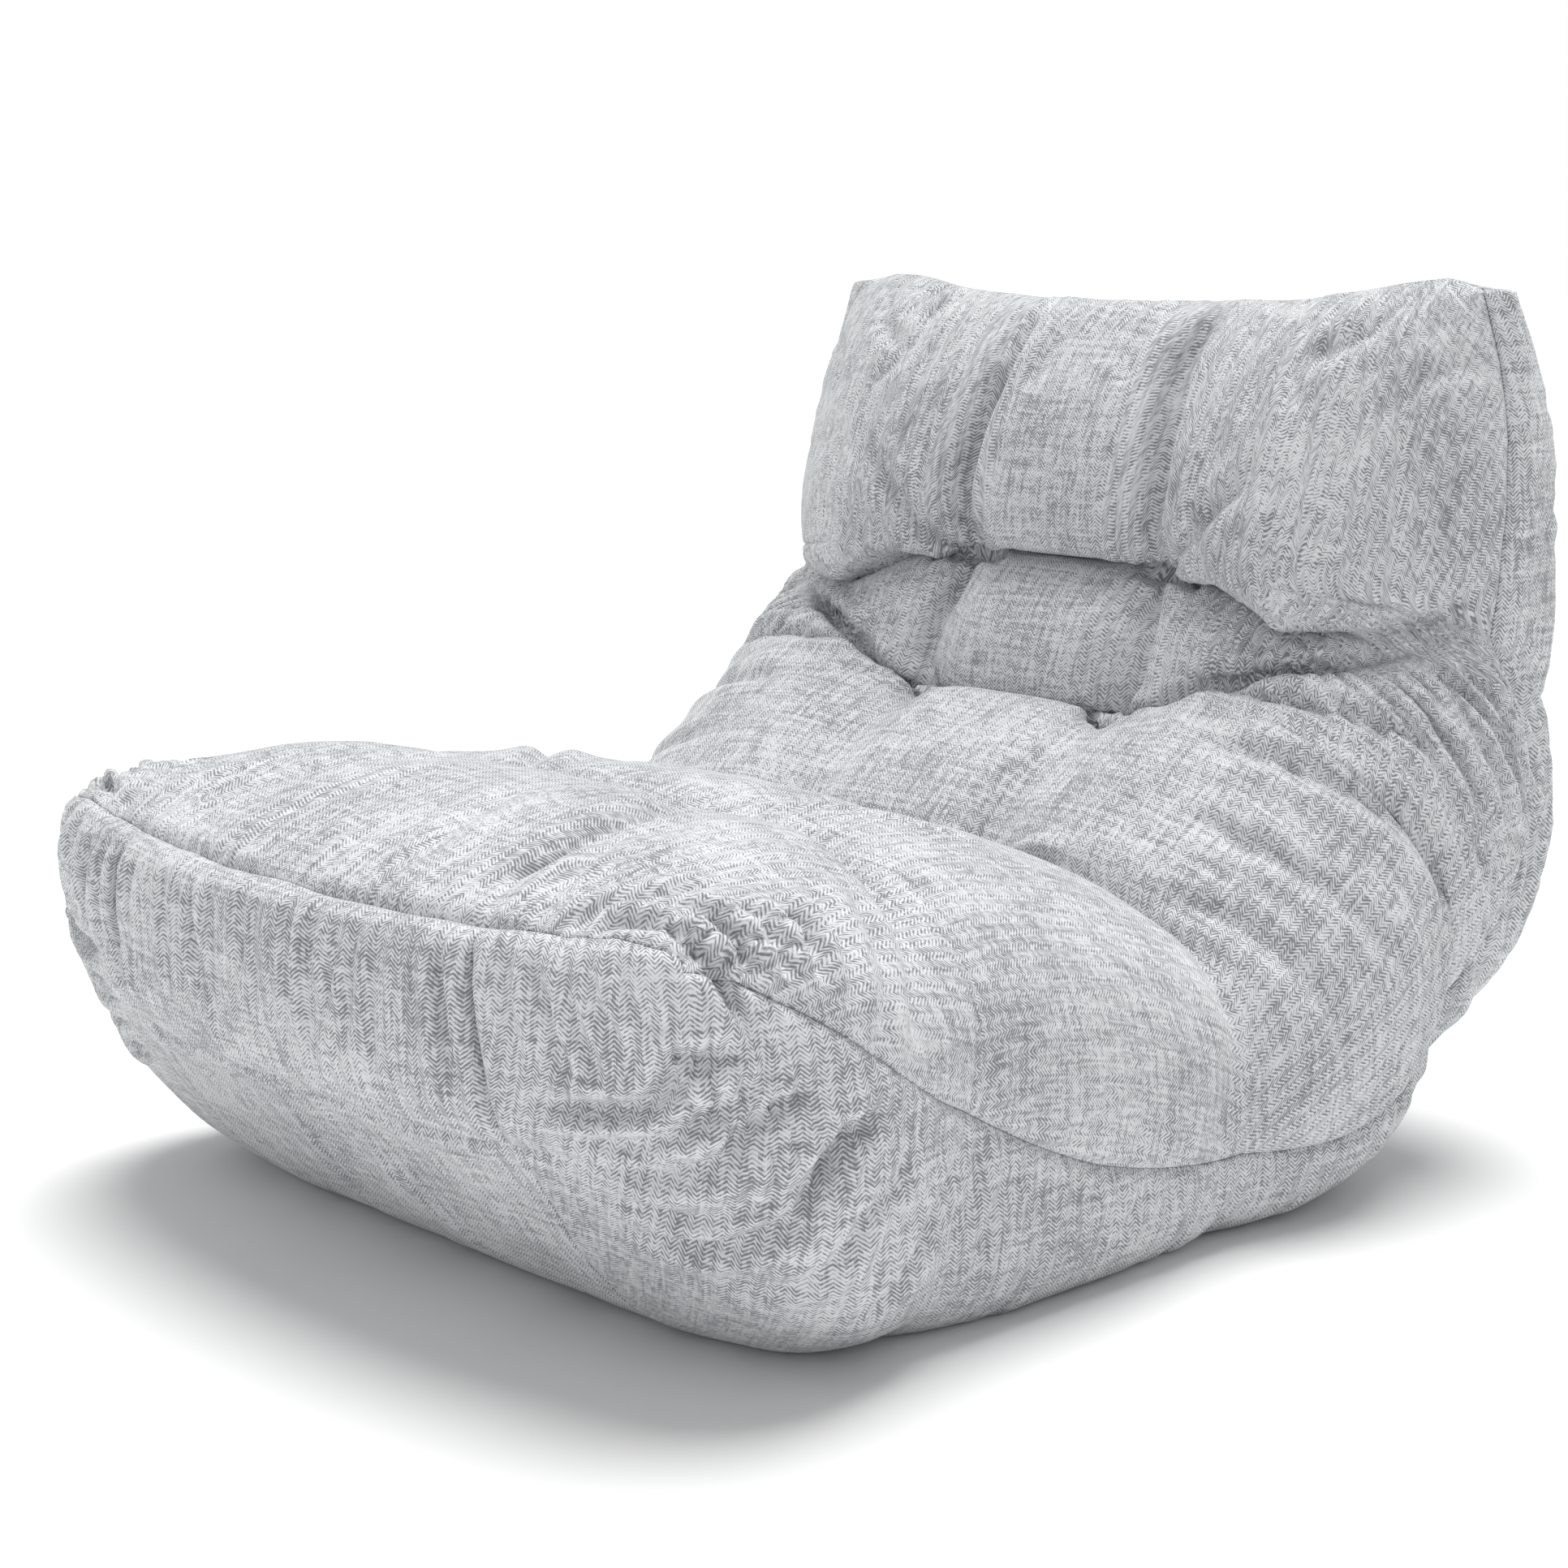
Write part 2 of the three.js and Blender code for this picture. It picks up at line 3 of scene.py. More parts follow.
import bmesh
import bpy
import numpy as np
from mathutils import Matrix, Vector


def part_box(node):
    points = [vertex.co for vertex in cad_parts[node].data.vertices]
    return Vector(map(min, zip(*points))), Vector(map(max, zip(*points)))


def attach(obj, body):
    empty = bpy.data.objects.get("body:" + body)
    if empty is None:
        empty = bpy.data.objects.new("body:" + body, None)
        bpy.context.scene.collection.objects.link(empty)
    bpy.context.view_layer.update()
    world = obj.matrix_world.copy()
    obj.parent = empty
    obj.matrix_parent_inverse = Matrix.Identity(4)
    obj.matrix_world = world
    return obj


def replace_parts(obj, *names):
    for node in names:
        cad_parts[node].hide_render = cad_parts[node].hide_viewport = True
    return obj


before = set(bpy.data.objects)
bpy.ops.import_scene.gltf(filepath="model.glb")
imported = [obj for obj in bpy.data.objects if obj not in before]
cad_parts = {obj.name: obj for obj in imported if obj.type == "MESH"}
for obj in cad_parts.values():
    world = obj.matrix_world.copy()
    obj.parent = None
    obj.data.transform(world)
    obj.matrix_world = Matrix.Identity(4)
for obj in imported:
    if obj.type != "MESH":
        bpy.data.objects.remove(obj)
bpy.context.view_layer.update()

# ---- driving dimensions, in metres: the body's shape as in the CAD part ----

# One value per tuft row, from the front seam (row 0) to the top seam (row 5): the top's and the hull's
# centre lines, the half width, where the side gore ends, the share of the height where the section is
# widest, how square its upper and lower halves are, and the side seam's angle in degrees.
STATIONS = {
    "top_y": [-0.548, -0.258, 0.110, 0.318, 0.410, 0.517],
    "top_z": [0.388, 0.392, 0.302, 0.412, 0.570, 0.862],
    "hull_y": [-0.545, -0.320, 0.070, 0.402, 0.610, 0.527],
    "hull_z": [0.198, -0.022, -0.022, 0.075, 0.420, 0.862],
    "half_width": [0.452, 0.472, 0.480, 0.484, 0.476, 0.440],
    "gore": [0.272, 0.272, 0.285, 0.290, 0.280, 0.240],
    "widest": [0.50, 0.45, 0.42, 0.40, 0.42, 0.50],
    "top_square": [5, 3.4, 3.2, 3.2, 3.6, 5],
    "hull_square": [5, 3.8, 4, 3.8, 3.8, 5],
    "seam_angle": [52, 79, 100, 103, 66, 51],
}
ROWS = 5

PUFF_HEIGHT = [0.036, 0.042, 0.060, 0.052, 0.080]
PUFF_ROUNDNESS = 0.6
TOP_ROW_BIAS = 0.75  # below 1, so that the top row hangs over the one beneath it
COLUMN_DIP_WIDTH = 0.075
SIDE_FADE = 0.4
HULL_BULGE = [0.034, 0.0, 0.022, 0.030, 0.026]
FRONT_BOW = 0.062
FRONT_SAG = 0.014
FRONT_SWELL = 0.030
TOP_SAG = 0.022
TUFT_X = 0.126
ZIP_ROW = 3.2
ZIP_GAP = 0.006  # half of the zip's opening

# The cover's mesh: how many steps each quilting row has, and each part of the width.
ROW_STEPS = [34, 36, 27, 27, 42]
TOP_COLUMNS = [57, 30, 57]  # side wing, middle, side wing
HULL_COLUMNS = [34, 38, 38, 34]  # side gore, half base, half base, side gore
FRONT_STEPS = 22
BAND_COLUMN = 34  # the mesh column of the front band's edge
COLUMNS = sum(TOP_COLUMNS)

# ---- the body's surface ----


def station_curve(values, row):
    """A Catmull-Rom curve through one value per station."""
    v = np.asarray(values, float)
    padded = np.concatenate([[2 * v[0] - v[1]], v, [2 * v[-1] - v[-2]]])
    row = np.clip(row, 0, ROWS)
    i = np.minimum(row.astype(int), ROWS - 1)
    f = row - i
    a, b, c, d = padded[i], padded[i + 1], padded[i + 2], padded[i + 3]
    return 0.5 * (2 * b + (c - a) * f + (2 * a - 5 * b + 4 * c - d) * f**2 + (3 * b - a - 3 * c + d) * f**3)


def section(row):
    """The section at each row: its station values, with the hull's bulge between the rows."""
    row = np.asarray(row, float)
    s = {name: station_curve(values, row) for name, values in STATIONS.items()}
    cell = np.minimum(row.astype(int), ROWS - 1)
    bulge = np.asarray(HULL_BULGE)[cell] * np.sin(math.pi * (row - cell))
    run_y, run_z = (
        station_curve(STATIONS[name], row + 0.01) - station_curve(STATIONS[name], row - 0.01)
        for name in ("hull_y", "hull_z")
    )
    run = np.hypot(run_y, run_z)
    s["row"] = row
    s["half_width"] = s["half_width"] + bulge
    s["hull_y"] = s["hull_y"] + bulge * run_z / run
    s["hull_z"] = s["hull_z"] - bulge * run_y / run
    s["seam_angle"] = np.radians(s["seam_angle"])
    return s


def mix(a, b, share):
    return a + (b - a) * share


def dot(a, b):
    return np.einsum("ij,ij->i", a, b)


def unit(vectors):
    return vectors / np.linalg.norm(vectors, axis=-1, keepdims=True)


def section_point(s, x, share):
    middle = 1 - np.minimum(np.abs(x) / s["half_width"], 1) ** 2
    front = np.maximum(1 - s["row"], 0) ** 2
    back = np.maximum(s["row"] - ROWS + 1, 0) ** 2
    y = mix(s["hull_y"], s["top_y"], share) - FRONT_BOW * middle * front
    z = mix(s["hull_z"], s["top_z"], share)
    drop = middle * (FRONT_SAG * front * share + TOP_SAG * back)
    return np.stack(np.broadcast_arrays(x, y, np.maximum(z - drop, 0)), -1)


def outline_height(across, square):
    return (1 - np.minimum(across, 1) ** square) ** (1 / square)


def angle_of_x(s, x, square):
    across = np.minimum(x / s["half_width"], 1)
    return np.arctan2(across, outline_height(across, square))


def body_point(row, angle):
    """The smooth body surface: angle 0 is the top centre line, pi the hull's, and its sign is the side."""
    s = section(row)
    on_top = np.abs(angle) <= math.pi / 2
    square = np.where(on_top, s["top_square"], s["hull_square"])
    sine, cosine = np.abs(np.sin(angle)), np.abs(np.cos(angle))
    reach = (sine**square + cosine**square) ** (-1 / square)
    gore_height = outline_height(s["gore"] / s["half_width"], s["hull_square"])
    above = s["widest"] + (1 - s["widest"]) * reach * cosine
    below = s["widest"] * np.maximum(1 - reach * cosine / gore_height, 0)
    x = np.sign(angle) * s["half_width"] * reach * sine
    return section_point(s, x, np.where(on_top, above, below))


def angles_along(row, start, end, shares):
    """For one row, the angles at shares of the outline's length between two angles."""
    angles = np.linspace(start, end, 48)
    points = body_point(np.full(48, float(row)), angles)
    length = np.concatenate([[0], np.cumsum(np.linalg.norm(np.diff(points, axis=0), axis=1))])
    return np.interp(shares * length[-1], length, angles)


def steps(counts):
    """Shares 0 to 1 of each stretch in turn, as one list of (stretch, share)."""
    pairs = [(k, i / n) for k, n in enumerate(counts) for i in range(n)]
    return pairs + [(len(counts) - 1, 1.0)]


def smooth(t):
    t = np.clip(t, 0, 1)
    return t * t * (3 - 2 * t)


def grid_rows():
    """The mesh's rows, with one line each side of the zip's opening."""
    rows = np.array([k + share for k, share in steps(ROW_STEPS)])
    near = body_point(np.array([ZIP_ROW - 0.01, ZIP_ROW + 0.01]), np.full(2, math.pi))
    half_gap = ZIP_GAP * 0.02 / np.linalg.norm(near[1] - near[0])
    after = int(np.searchsorted(rows, ZIP_ROW))
    rows[after - 1], rows[after] = ZIP_ROW - half_gap, ZIP_ROW + half_gap
    return rows, after


GRID_ROWS, ZIP_LINE = grid_rows()


def top_across():
    return np.array([-1 + 2 * (k + share) / 3 for k, share in steps(TOP_COLUMNS)])


def top_angles(rows, across):
    """The angle at each row and across value: a third either side is a tuft column, 1 is the side seam."""
    out = np.zeros((len(rows), len(across)))
    for i, row in enumerate(rows):
        s = section(row)
        tuft = angle_of_x(s, TUFT_X, s["top_square"])
        share = np.abs(across)
        inner = angle_of_x(s, 3 * np.minimum(share, 1 / 3) * TUFT_X, s["top_square"])
        outer = angles_along(row, tuft, s["seam_angle"], np.clip((share - 1 / 3) * 1.5, 0, 1))
        out[i] = np.sign(across) * np.where(share <= 1 / 3, inner, outer)
    return out


def hull_angles(rows):
    """The angle at each row and hull column, from the right side seam under the chair to the left one."""
    out = []
    for row in rows:
        s = section(row)
        gore = math.pi - angle_of_x(s, s["gore"], s["hull_square"])
        side, half = HULL_COLUMNS[0], HULL_COLUMNS[1]
        down = angles_along(row, s["seam_angle"], gore, np.linspace(0, 1, side + 1))
        x = s["gore"] * np.linspace(1, 0, half + 1)
        under = math.pi - angle_of_x(s, x, s["hull_square"])
        left = np.concatenate([down, under[1:]])
        out.append(np.concatenate([-left, left[::-1][1:]]))
    return np.array(out)


# ---- the quilting ----


# The creases between the quilting rows: straight between the two tufts, then out along each wing as
# (across, row) points, where the third and the fourth run together.
WING_CREASES = [
    [(1 / 3, 1), (0.54, 1.04), (0.75, 0.89), (0.91, 0.74), (1, 0.70)],
    [(1 / 3, 2), (0.7, 1.97), (1, 1.90)],
    [(1 / 3, 3), (0.43, 3.08), (0.55, 3.36), (0.70, 3.66), (0.85, 3.86), (1, 4.12)],
    [(1 / 3, 4), (0.50, 3.94), (0.62, 3.79), (0.75, 3.84), (0.88, 3.99), (1, 4.18)],
]
# The creases along the two tuft columns, as (row, across): they spread to the front band's corners.
COLUMN_CREASE = [(0, 0.55), (0.5, 0.50), (1, 1 / 3), (5, 1 / 3)]
COLUMN_NEAR_TUFT = 0.75  # the column creases' depth at a tuft
TUFT_REACH = 0.16
COLUMN_BETWEEN = [0.30, 0.25, 0.25, 0.55, 0.30]  # the column creases' depth half way along each cell
# The way each row leans over the crease below it, and over the one above it.
LEAN_DOWN = [0.0, 0.008, 0.012, 0.014, 0.030]
LEAN_UP = [0.010, 0.0, 0.020, 0.004, 0.0]
LEAN_REACH = 0.13


def crease_rows(across):
    """The row of each crease at an across value."""
    out = [np.zeros_like(across)]
    for crease in WING_CREASES:
        at, row = zip(*crease)
        out.append(np.interp(np.abs(across), at, row))
    return out + [np.full_like(across, ROWS)]


def lean(share):
    """A hump just inside a crease, where a full cell rolls over it."""
    share = np.maximum(share, 0) / LEAN_REACH
    return share * np.exp(1 - share)


def puff(rows, across):
    """How far the quilting stands out from the body and leans along it, and the place within its row."""
    row, across = np.meshgrid(rows, across, indexing="ij")
    creases = crease_rows(across)
    cell = sum((row >= crease).astype(int) for crease in creases[1:-1])
    low = np.choose(cell, creases[:-1])
    high = np.choose(cell, creases[1:])
    share = (row - low) / np.maximum(high - low, 0.02)
    full = np.minimum(high - low, 1.2)
    height = np.asarray(PUFF_HEIGHT)[cell] * full**0.7
    bias = np.where(cell == ROWS - 1, TOP_ROW_BIAS, 1)
    crown = np.abs(np.sin(math.pi * share**bias)) ** PUFF_ROUNDNESS
    at, where = zip(*COLUMN_CREASE)
    from_column = (np.abs(across) - np.interp(row, at, where)) / COLUMN_DIP_WIDTH
    near_tuft = np.exp(-(np.abs(row - np.clip(np.round(row), 1, 4)) / TUFT_REACH) ** 2)
    depth = mix(np.asarray(COLUMN_BETWEEN)[cell], COLUMN_NEAR_TUFT, near_tuft)
    column = 1 - depth * np.exp(-(from_column**2))
    side = np.minimum((1 - np.abs(across)) / SIDE_FADE, 1) ** 0.7
    along = np.asarray(LEAN_UP)[cell] * lean(1 - share) - np.asarray(LEAN_DOWN)[cell] * lean(share)
    return height * crown * column * side, along * side * full, share


# ---- the cover's mesh: a top, a hull and a front face that share their seams ----


def grid_normals(points):
    du = np.gradient(points, axis=0)
    dv = np.gradient(points, axis=1)
    normal = np.cross(du, dv)
    return normal / np.maximum(np.linalg.norm(normal, axis=-1, keepdims=True), 1e-9)


def front_face(top_edge, bottom_edge):
    """Rows from the top seam's front edge down to the base's, swelling forwards in between."""
    s = section(0.0)
    share = np.linspace(0, 1, FRONT_STEPS + 1)[:, None]
    points = mix(top_edge[None], bottom_edge[None], share[..., None])
    height = (points[..., 2] - s["hull_z"]) / (s["top_z"] - s["hull_z"])
    out = (np.abs(points[..., 0]) / s["half_width"]) ** 5 + np.abs(2 * height - 1) ** 5
    points[..., 1] -= FRONT_SWELL * np.maximum(1 - out, 0)
    return points


class Cover:
    """Three grids of vertex numbers, top, hull and front, over one list of points."""

    def number(self, rows, across, front_steps):
        self.rows, self.across = rows, across
        self.top = np.arange(len(rows) * len(across)).reshape(len(rows), -1)
        self.hull = np.full_like(self.top, -1)
        self.hull[:, 0], self.hull[:, -1] = self.top[:, 0], self.top[:, -1]
        self.hull[-1] = self.top[-1]
        self.count = self.top.size
        self.number_free(self.hull)
        self.front = np.full((front_steps + 1, len(across)), -1)
        self.front[0], self.front[-1] = self.top[0], self.hull[0]
        self.front[:, 0], self.front[:, -1] = self.top[0, 0], self.top[0, -1]
        self.number_free(self.front)
        self.grids = [self.top, self.hull, self.front]

    def number_free(self, grid):
        free = grid < 0
        grid[free] = self.count + np.arange(free.sum())
        self.count += free.sum()


class CoarseCover(Cover):
    """The puffed cover before its folds. `body` is without the puff, and `plain` stays without folds."""

    def __init__(self):
        across = top_across()
        self.number(GRID_ROWS, across, FRONT_STEPS)
        top = body_point(GRID_ROWS[:, None], top_angles(GRID_ROWS, across))
        hull = body_point(GRID_ROWS[:, None], hull_angles(GRID_ROWS))
        lift, along, self.share = puff(GRID_ROWS, across)
        normal = -grid_normals(top)
        run = unit(np.gradient(top, axis=0))
        puffed = top + normal * lift[..., None] + run * along[..., None]
        self.points = np.zeros((self.count, 3))
        self.points[self.front] = front_face(puffed[0], hull[0])
        self.points[self.hull] = hull
        self.points[self.top] = puffed
        self.body = self.points.copy()
        self.body[self.top] = top
        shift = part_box("cover_front_band")[0].y - self.points[:, 1].min()  # the front lip lies on the CAD's
        self.points[:, 1] += shift
        self.body[:, 1] += shift
        self.plain = self.points.copy()


cover = CoarseCover()


# ---- the cloth: threads at the shape's own lengths, blown out from inside and held by its seams ----

SLACK = 1.004  # how much longer a thread is than the shape that it starts from
DIAGONAL = 0.25  # the diagonal threads' strength, where a straight one has 1
BENDING = 0.25
OVER_RELAX = 1.6
PRESSURE = 0.00010
GOAL = {"top": 0.02, "hull": 0.02, "crease": 0.15, "seam": 0.25}
CREASE_HOLD = 0.05  # the share of a row over which a crease is held
RELAX_STEPS = 120
STEPS_PER_NORMAL = 10
DAMPING = 0.85
FLOOR_GAP = 0.0005
TUFT_DEPTH = 0.020
TUFT_RADIUS = 0.019
DISH_RADIUS = 2.6 * TUFT_RADIUS  # the shallow dish round a tuft's pit
PIT_SHARE, DISH_SHARE = 0.62, 0.38
TUFT_HOLD = 0.012


def edge_pairs(grid, di, dj):
    """The vertices of a grid and those `di` rows and `dj` columns on."""
    n, m = grid.shape
    if dj >= 0:
        first, second = grid[: n - di, : m - dj], grid[di:, dj:]
    else:
        first, second = grid[: n - di, -dj:], grid[di:, : m + dj]
    return first, second


def lengths_between(ends, points):
    return np.linalg.norm(points[ends[1]] - points[ends[0]], axis=-1)


class Springs:
    """All the cover's threads: structural, diagonal and bending, as pairs of vertices."""

    def __init__(self, cover):
        pairs, rests, strengths = [], [], []

        def add(ends, lengths, strength):
            pairs.append(np.stack([end.ravel() for end in ends], -1))
            rests.append(lengths.ravel())
            strengths.append(np.full(lengths.size, strength))

        for grid in cover.grids:
            down, over = edge_pairs(grid, 1, 0), edge_pairs(grid, 0, 1)
            along, across = (lengths_between(ends, cover.points) * SLACK for ends in (down, over))
            add(down, along, 1.0)
            add(over, across, 1.0)
            diagonal = np.hypot(0.5 * (along[:, 1:] + along[:, :-1]), 0.5 * (across[1:] + across[:-1]))
            for dj in (1, -1):
                add(edge_pairs(grid, 1, dj), diagonal, DIAGONAL)
            for di, dj in ((1, 0), (0, 1)):
                for reach in (2, 4):
                    ends = edge_pairs(grid, reach * di, reach * dj)
                    add(ends, lengths_between(ends, cover.points), BENDING / reach)
        pairs, rest, strength = (np.concatenate(values) for values in (pairs, rests, strengths))
        real = pairs[:, 0] != pairs[:, 1]
        self.first, self.second = pairs[real].T
        self.rest, self.strength = rest[real], strength[real]
        count = len(cover.points)
        self.weight = np.bincount(self.first, self.strength, count)
        self.weight += np.bincount(self.second, self.strength, count)

    def pull(self, points):
        """One Jacobi step that brings every thread towards its rest length."""
        gap = points[self.second] - points[self.first]
        length = np.sqrt(dot(gap, gap))
        scale = 0.5 * self.strength * (1 - self.rest / np.maximum(length, 1e-6))
        move = np.empty_like(points)
        for k in range(3):
            push = gap[:, k] * scale
            move[:, k] = np.bincount(self.first, push, len(points))
            move[:, k] -= np.bincount(self.second, push, len(points))
        return points + move * (OVER_RELAX / self.weight)[:, None]


def goal_weights(cover):
    """How strongly the filling, the seams and the tufts hold each vertex to its place."""
    goal = np.full(len(cover.points), GOAL["hull"])
    near_crease = np.exp(-((np.minimum(cover.share, 1 - cover.share) / CREASE_HOLD) ** 2))
    goal[cover.top] = GOAL["top"] + (GOAL["crease"] - GOAL["top"]) * near_crease
    goal[cover.top[:, [0, -1]]] = GOAL["seam"]
    goal[cover.top[[0, -1]]] = GOAL["seam"]
    goal[cover.hull[0]] = GOAL["seam"]
    goal[cover.hull[ZIP_LINE - 1 : ZIP_LINE + 1]] = 1
    return goal


def tuft_points(cover):
    rows = np.cumsum(ROW_STEPS)[:-1]
    columns = [TOP_COLUMNS[0], TOP_COLUMNS[0] + TOP_COLUMNS[1]]
    return [cover.top[row, column] for row in rows for column in columns]


def surface_normals(cover, points):
    """Outward vertex normals: the sum of the normals of the quads round each vertex."""
    out = np.zeros_like(points)
    for grid, way in zip(cover.grids, (-1, 1, 1)):
        p = points[grid]
        quad = way * np.cross(p[1:, 1:] - p[:-1, :-1], p[:-1, 1:] - p[1:, :-1])
        for corner in (grid[:-1, :-1], grid[1:, :-1], grid[:-1, 1:], grid[1:, 1:]):
            for k in range(3):
                out[:, k] += np.bincount(corner.ravel(), quad[..., k].ravel(), len(points))
    return out / np.maximum(np.linalg.norm(out, axis=1, keepdims=True), 1e-9)


def soft_noise(points, size, seed):
    """Smooth seeded noise, about -1 to 1, from a few waves of one wavelength in random directions."""
    rng = np.random.default_rng(seed)
    total = np.zeros(len(points))
    for _ in range(24):
        way = rng.normal(size=3)
        way *= 2 * math.pi / size / np.linalg.norm(way)
        total += np.sin(points @ way + rng.uniform(0, 2 * math.pi))
    return total / math.sqrt(12)


# ---- folds: lines where the cloth is pushed up or drawn in ----

# A place on the cover is ("top", row, across), ("hull", row, across) or ("front", drop, across).


def grid_place(cover, kind, a, b):
    """A place on the cover as its grid and the fractional line numbers there."""
    if kind == "front":
        return cover.front, a * (cover.front.shape[0] - 1), (b + 1) / 2 * (cover.front.shape[1] - 1)
    row = np.interp(a, cover.rows, np.arange(len(cover.rows)))
    if kind == "hull":
        return cover.hull, row, (b + 1) / 2 * (cover.hull.shape[1] - 1)
    return cover.top, row, np.interp(b, cover.across, np.arange(len(cover.across)))


def place(cover, kind, a, b):
    grid, i, j = grid_place(cover, kind, a, b)
    i0, j0 = min(int(i), grid.shape[0] - 2), min(int(j), grid.shape[1] - 2)
    f, g = i - i0, j - j0
    p = cover.points
    near = mix(p[grid[i0, j0]], p[grid[i0, j0 + 1]], g)
    far = mix(p[grid[i0 + 1, j0]], p[grid[i0 + 1, j0 + 1]], g)
    return mix(near, far, f)


def fold_line(cover, path):
    """A fold's points on the cover, three between each two given places on one grid."""
    line = [place(cover, *path[0])]
    for (kind_a, *from_), (kind_b, *to) in zip(path, path[1:]):
        if kind_a == kind_b:
            for share in (0.25, 0.5, 0.75):
                line.append(place(cover, kind_a, mix(from_[0], to[0], share), mix(from_[1], to[1], share)))
        line.append(place(cover, kind_b, *to))
    return np.array(line)


def fold_profile(away, width):
    """A crease one unit deep with a soft roll each side."""
    valley = np.exp(-((away / width) ** 1.4))
    return 0.5 * np.exp(-(((away - 1.9 * width) / (1.1 * width)) ** 2)) - valley


def press_fold(points, normals, line, depth, width, taper=0.25):
    """Adds one fold along a line: a positive depth is a crease, a negative one a ridge."""
    low, high = line.min(0) - 5 * width, line.max(0) + 5 * width
    near = np.nonzero(((points > low) & (points < high)).all(1))[0]
    if not len(near):
        return
    p, n = points[near], normals[near]
    best = np.full(len(near), 1e9)
    along = np.zeros(len(near))
    run = np.concatenate([[0], np.cumsum(np.linalg.norm(np.diff(line, axis=0), axis=1))])
    for k in range(len(line) - 1):
        d = line[k + 1] - line[k]
        t = np.clip(((p - line[k]) @ d) / max(d @ d, 1e-12), 0, 1)
        gap = p - line[k] - t[:, None] * d
        lift = dot(gap, n)
        flat = np.sqrt(np.maximum(dot(gap, gap) - lift**2, 0))
        flat = np.where(np.abs(lift) > 0.05, 1e9, flat)
        closer = flat < best
        best = np.where(closer, flat, best)
        along = np.where(closer, (run[k] + t * (run[k + 1] - run[k])) / run[-1], along)
    ends = smooth(np.minimum(along, 1 - along) / taper)
    points[near] += n * (depth * ends * fold_profile(best, width))[:, None]


T, H, F = "top", "hull", "front"
BAND = 1 - 2 * BAND_COLUMN / COLUMNS  # the front band's edge
WIDE_FOLD = 0.011  # folds at least this wide are pressed before the cloth is relaxed
# Each fold: its depth and its width in millimetres, and its path on the sitter's left side. They are
# repeated on the other side.
FOLD_TABLE = f"""
# along the front pad, from the front seam towards the first tufts
12 14: T .02 .5, T .25 .5, T .6 .43, T .95 .35
4 12: T .03 .33, T .36 .22, T .64 .14
6 10: T .03 .66, T .22 .6, T .45 .5
8 12: T 1.05 .36, T 1.3 .46, T 1.45 .6
# the corner: the cloth is tucked round its point, with arcs beyond the tucks
13 8: F 0 .77, T .05 .82, T .09 .89, T .07 .96, H .07 .99, H .12 .95
15 9: T .15 .83, T .2 .9, T .17 .96, H .15 .99
9 9: F .02 .71, T .1 .75, T .24 .77, T .38 .76
9 9: T .3 .8, T .31 .88, T .28 .95, H .24 .99
9 9: T .42 .8, T .42 .88, T .39 .96, H .34 .99
6 9: F .06 .66, F .3 .69, F .6 .67
# down the side, from the corner and the side seam
12 9: H .15 .95, F .74 .86, F .74 .74, F .7 .6
10 9: H .26 .96, H .05 .86, F .9 .76, F .86 .6
12 10: H .4 .97, H .12 .86, H .03 .76, H .01 .6
9 10: H .52 .94, H .22 .8, H .1 .62
15 10: H .7 .98, H .47 .92, H .28 .78, H .2 .6
7 10: H .8 .95, H .58 .86, H .4 .72
7 10: H 1 .97, H .86 .86, H .7 .76
5 10: H 1.2 .97, H 1.08 .84
# round the front pad's wing
8 9: T .6 .73, T .53 .85, T .47 .93, H .4 .99
7 8: T .46 .78, T .38 .92, H .28 .99
6 9: T .74 .72, T .66 .84, T .58 .96, H .52 .98
# the front band's ends and its middle
9 8: F .02 {BAND}, F .5 {BAND}, F .98 {BAND}
5 9: F .02 {BAND - .08}, F .45 {BAND - .06}, F .85 {BAND - .03}
6 7: H 0 0, H 0 .25, H 0 {BAND}
4 6: F 0 0, F 0 .35, F 0 .7
6 8: F .03 .2, F .45 .16, F .88 .12
4 8: F .03 -.13, F .4 -.14, F .8 -.1
4 8: H .1 -.07, H .64 -.2
# up the back, from the upper tufts towards the top seam
16 15: T 4.02 .335, T 4.34 .35, T 4.7 .3, T 4.93 .33
11 12: T 4.02 .34, T 4.2 .48, T 4.36 .6
5 11: T 4.05 .3, T 4.28 .22, T 4.45 .18
5 11: T 4.55 .16, T 4.8 .15, T 4.97 .18
6 12: T 4.97 .62, T 4.72 .6, T 4.5 .66
8 12: T 4.96 .84, T 4.8 .76, T 4.66 .6
7 11: T 4.8 .99, T 4.68 .86, T 4.52 .78
# between the upper and the lower tufts
14 13: T 3.92 .335, T 3.6 .36, T 3.3 .36, T 3.06 .335
# across the back's wing
12 10: T 3.3 .44, T 3.5 .56, T 3.66 .7
13 11: T 3.05 .4, T 3.12 .56, T 3.3 .72, T 3.46 .86
11 13: T 2.72 .5, T 2.85 .64, T 2.98 .8, T 3.14 .94
7 12: T 2.4 .56, T 2.5 .74, T 2.66 .9
6 12: T 2.05 .6, T 2.2 .76, T 2.4 .94
7 10: T 3.86 .8, T 3.7 .86, T 3.5 .97
"""


def listed_folds():
    """The table's folds as (path, depth, width)."""
    kinds = {"T": T, "H": H, "F": F}
    out = []
    for line in FOLD_TABLE.splitlines():
        if line and line[0] != "#":
            sizes, places = line.split(": ")
            path = [place.split() for place in places.split(", ")]
            path = [(kinds[kind], float(a), float(b)) for kind, a, b in path]
            out.append((path, *(int(size) / 1000 for size in sizes.split())))
    return out


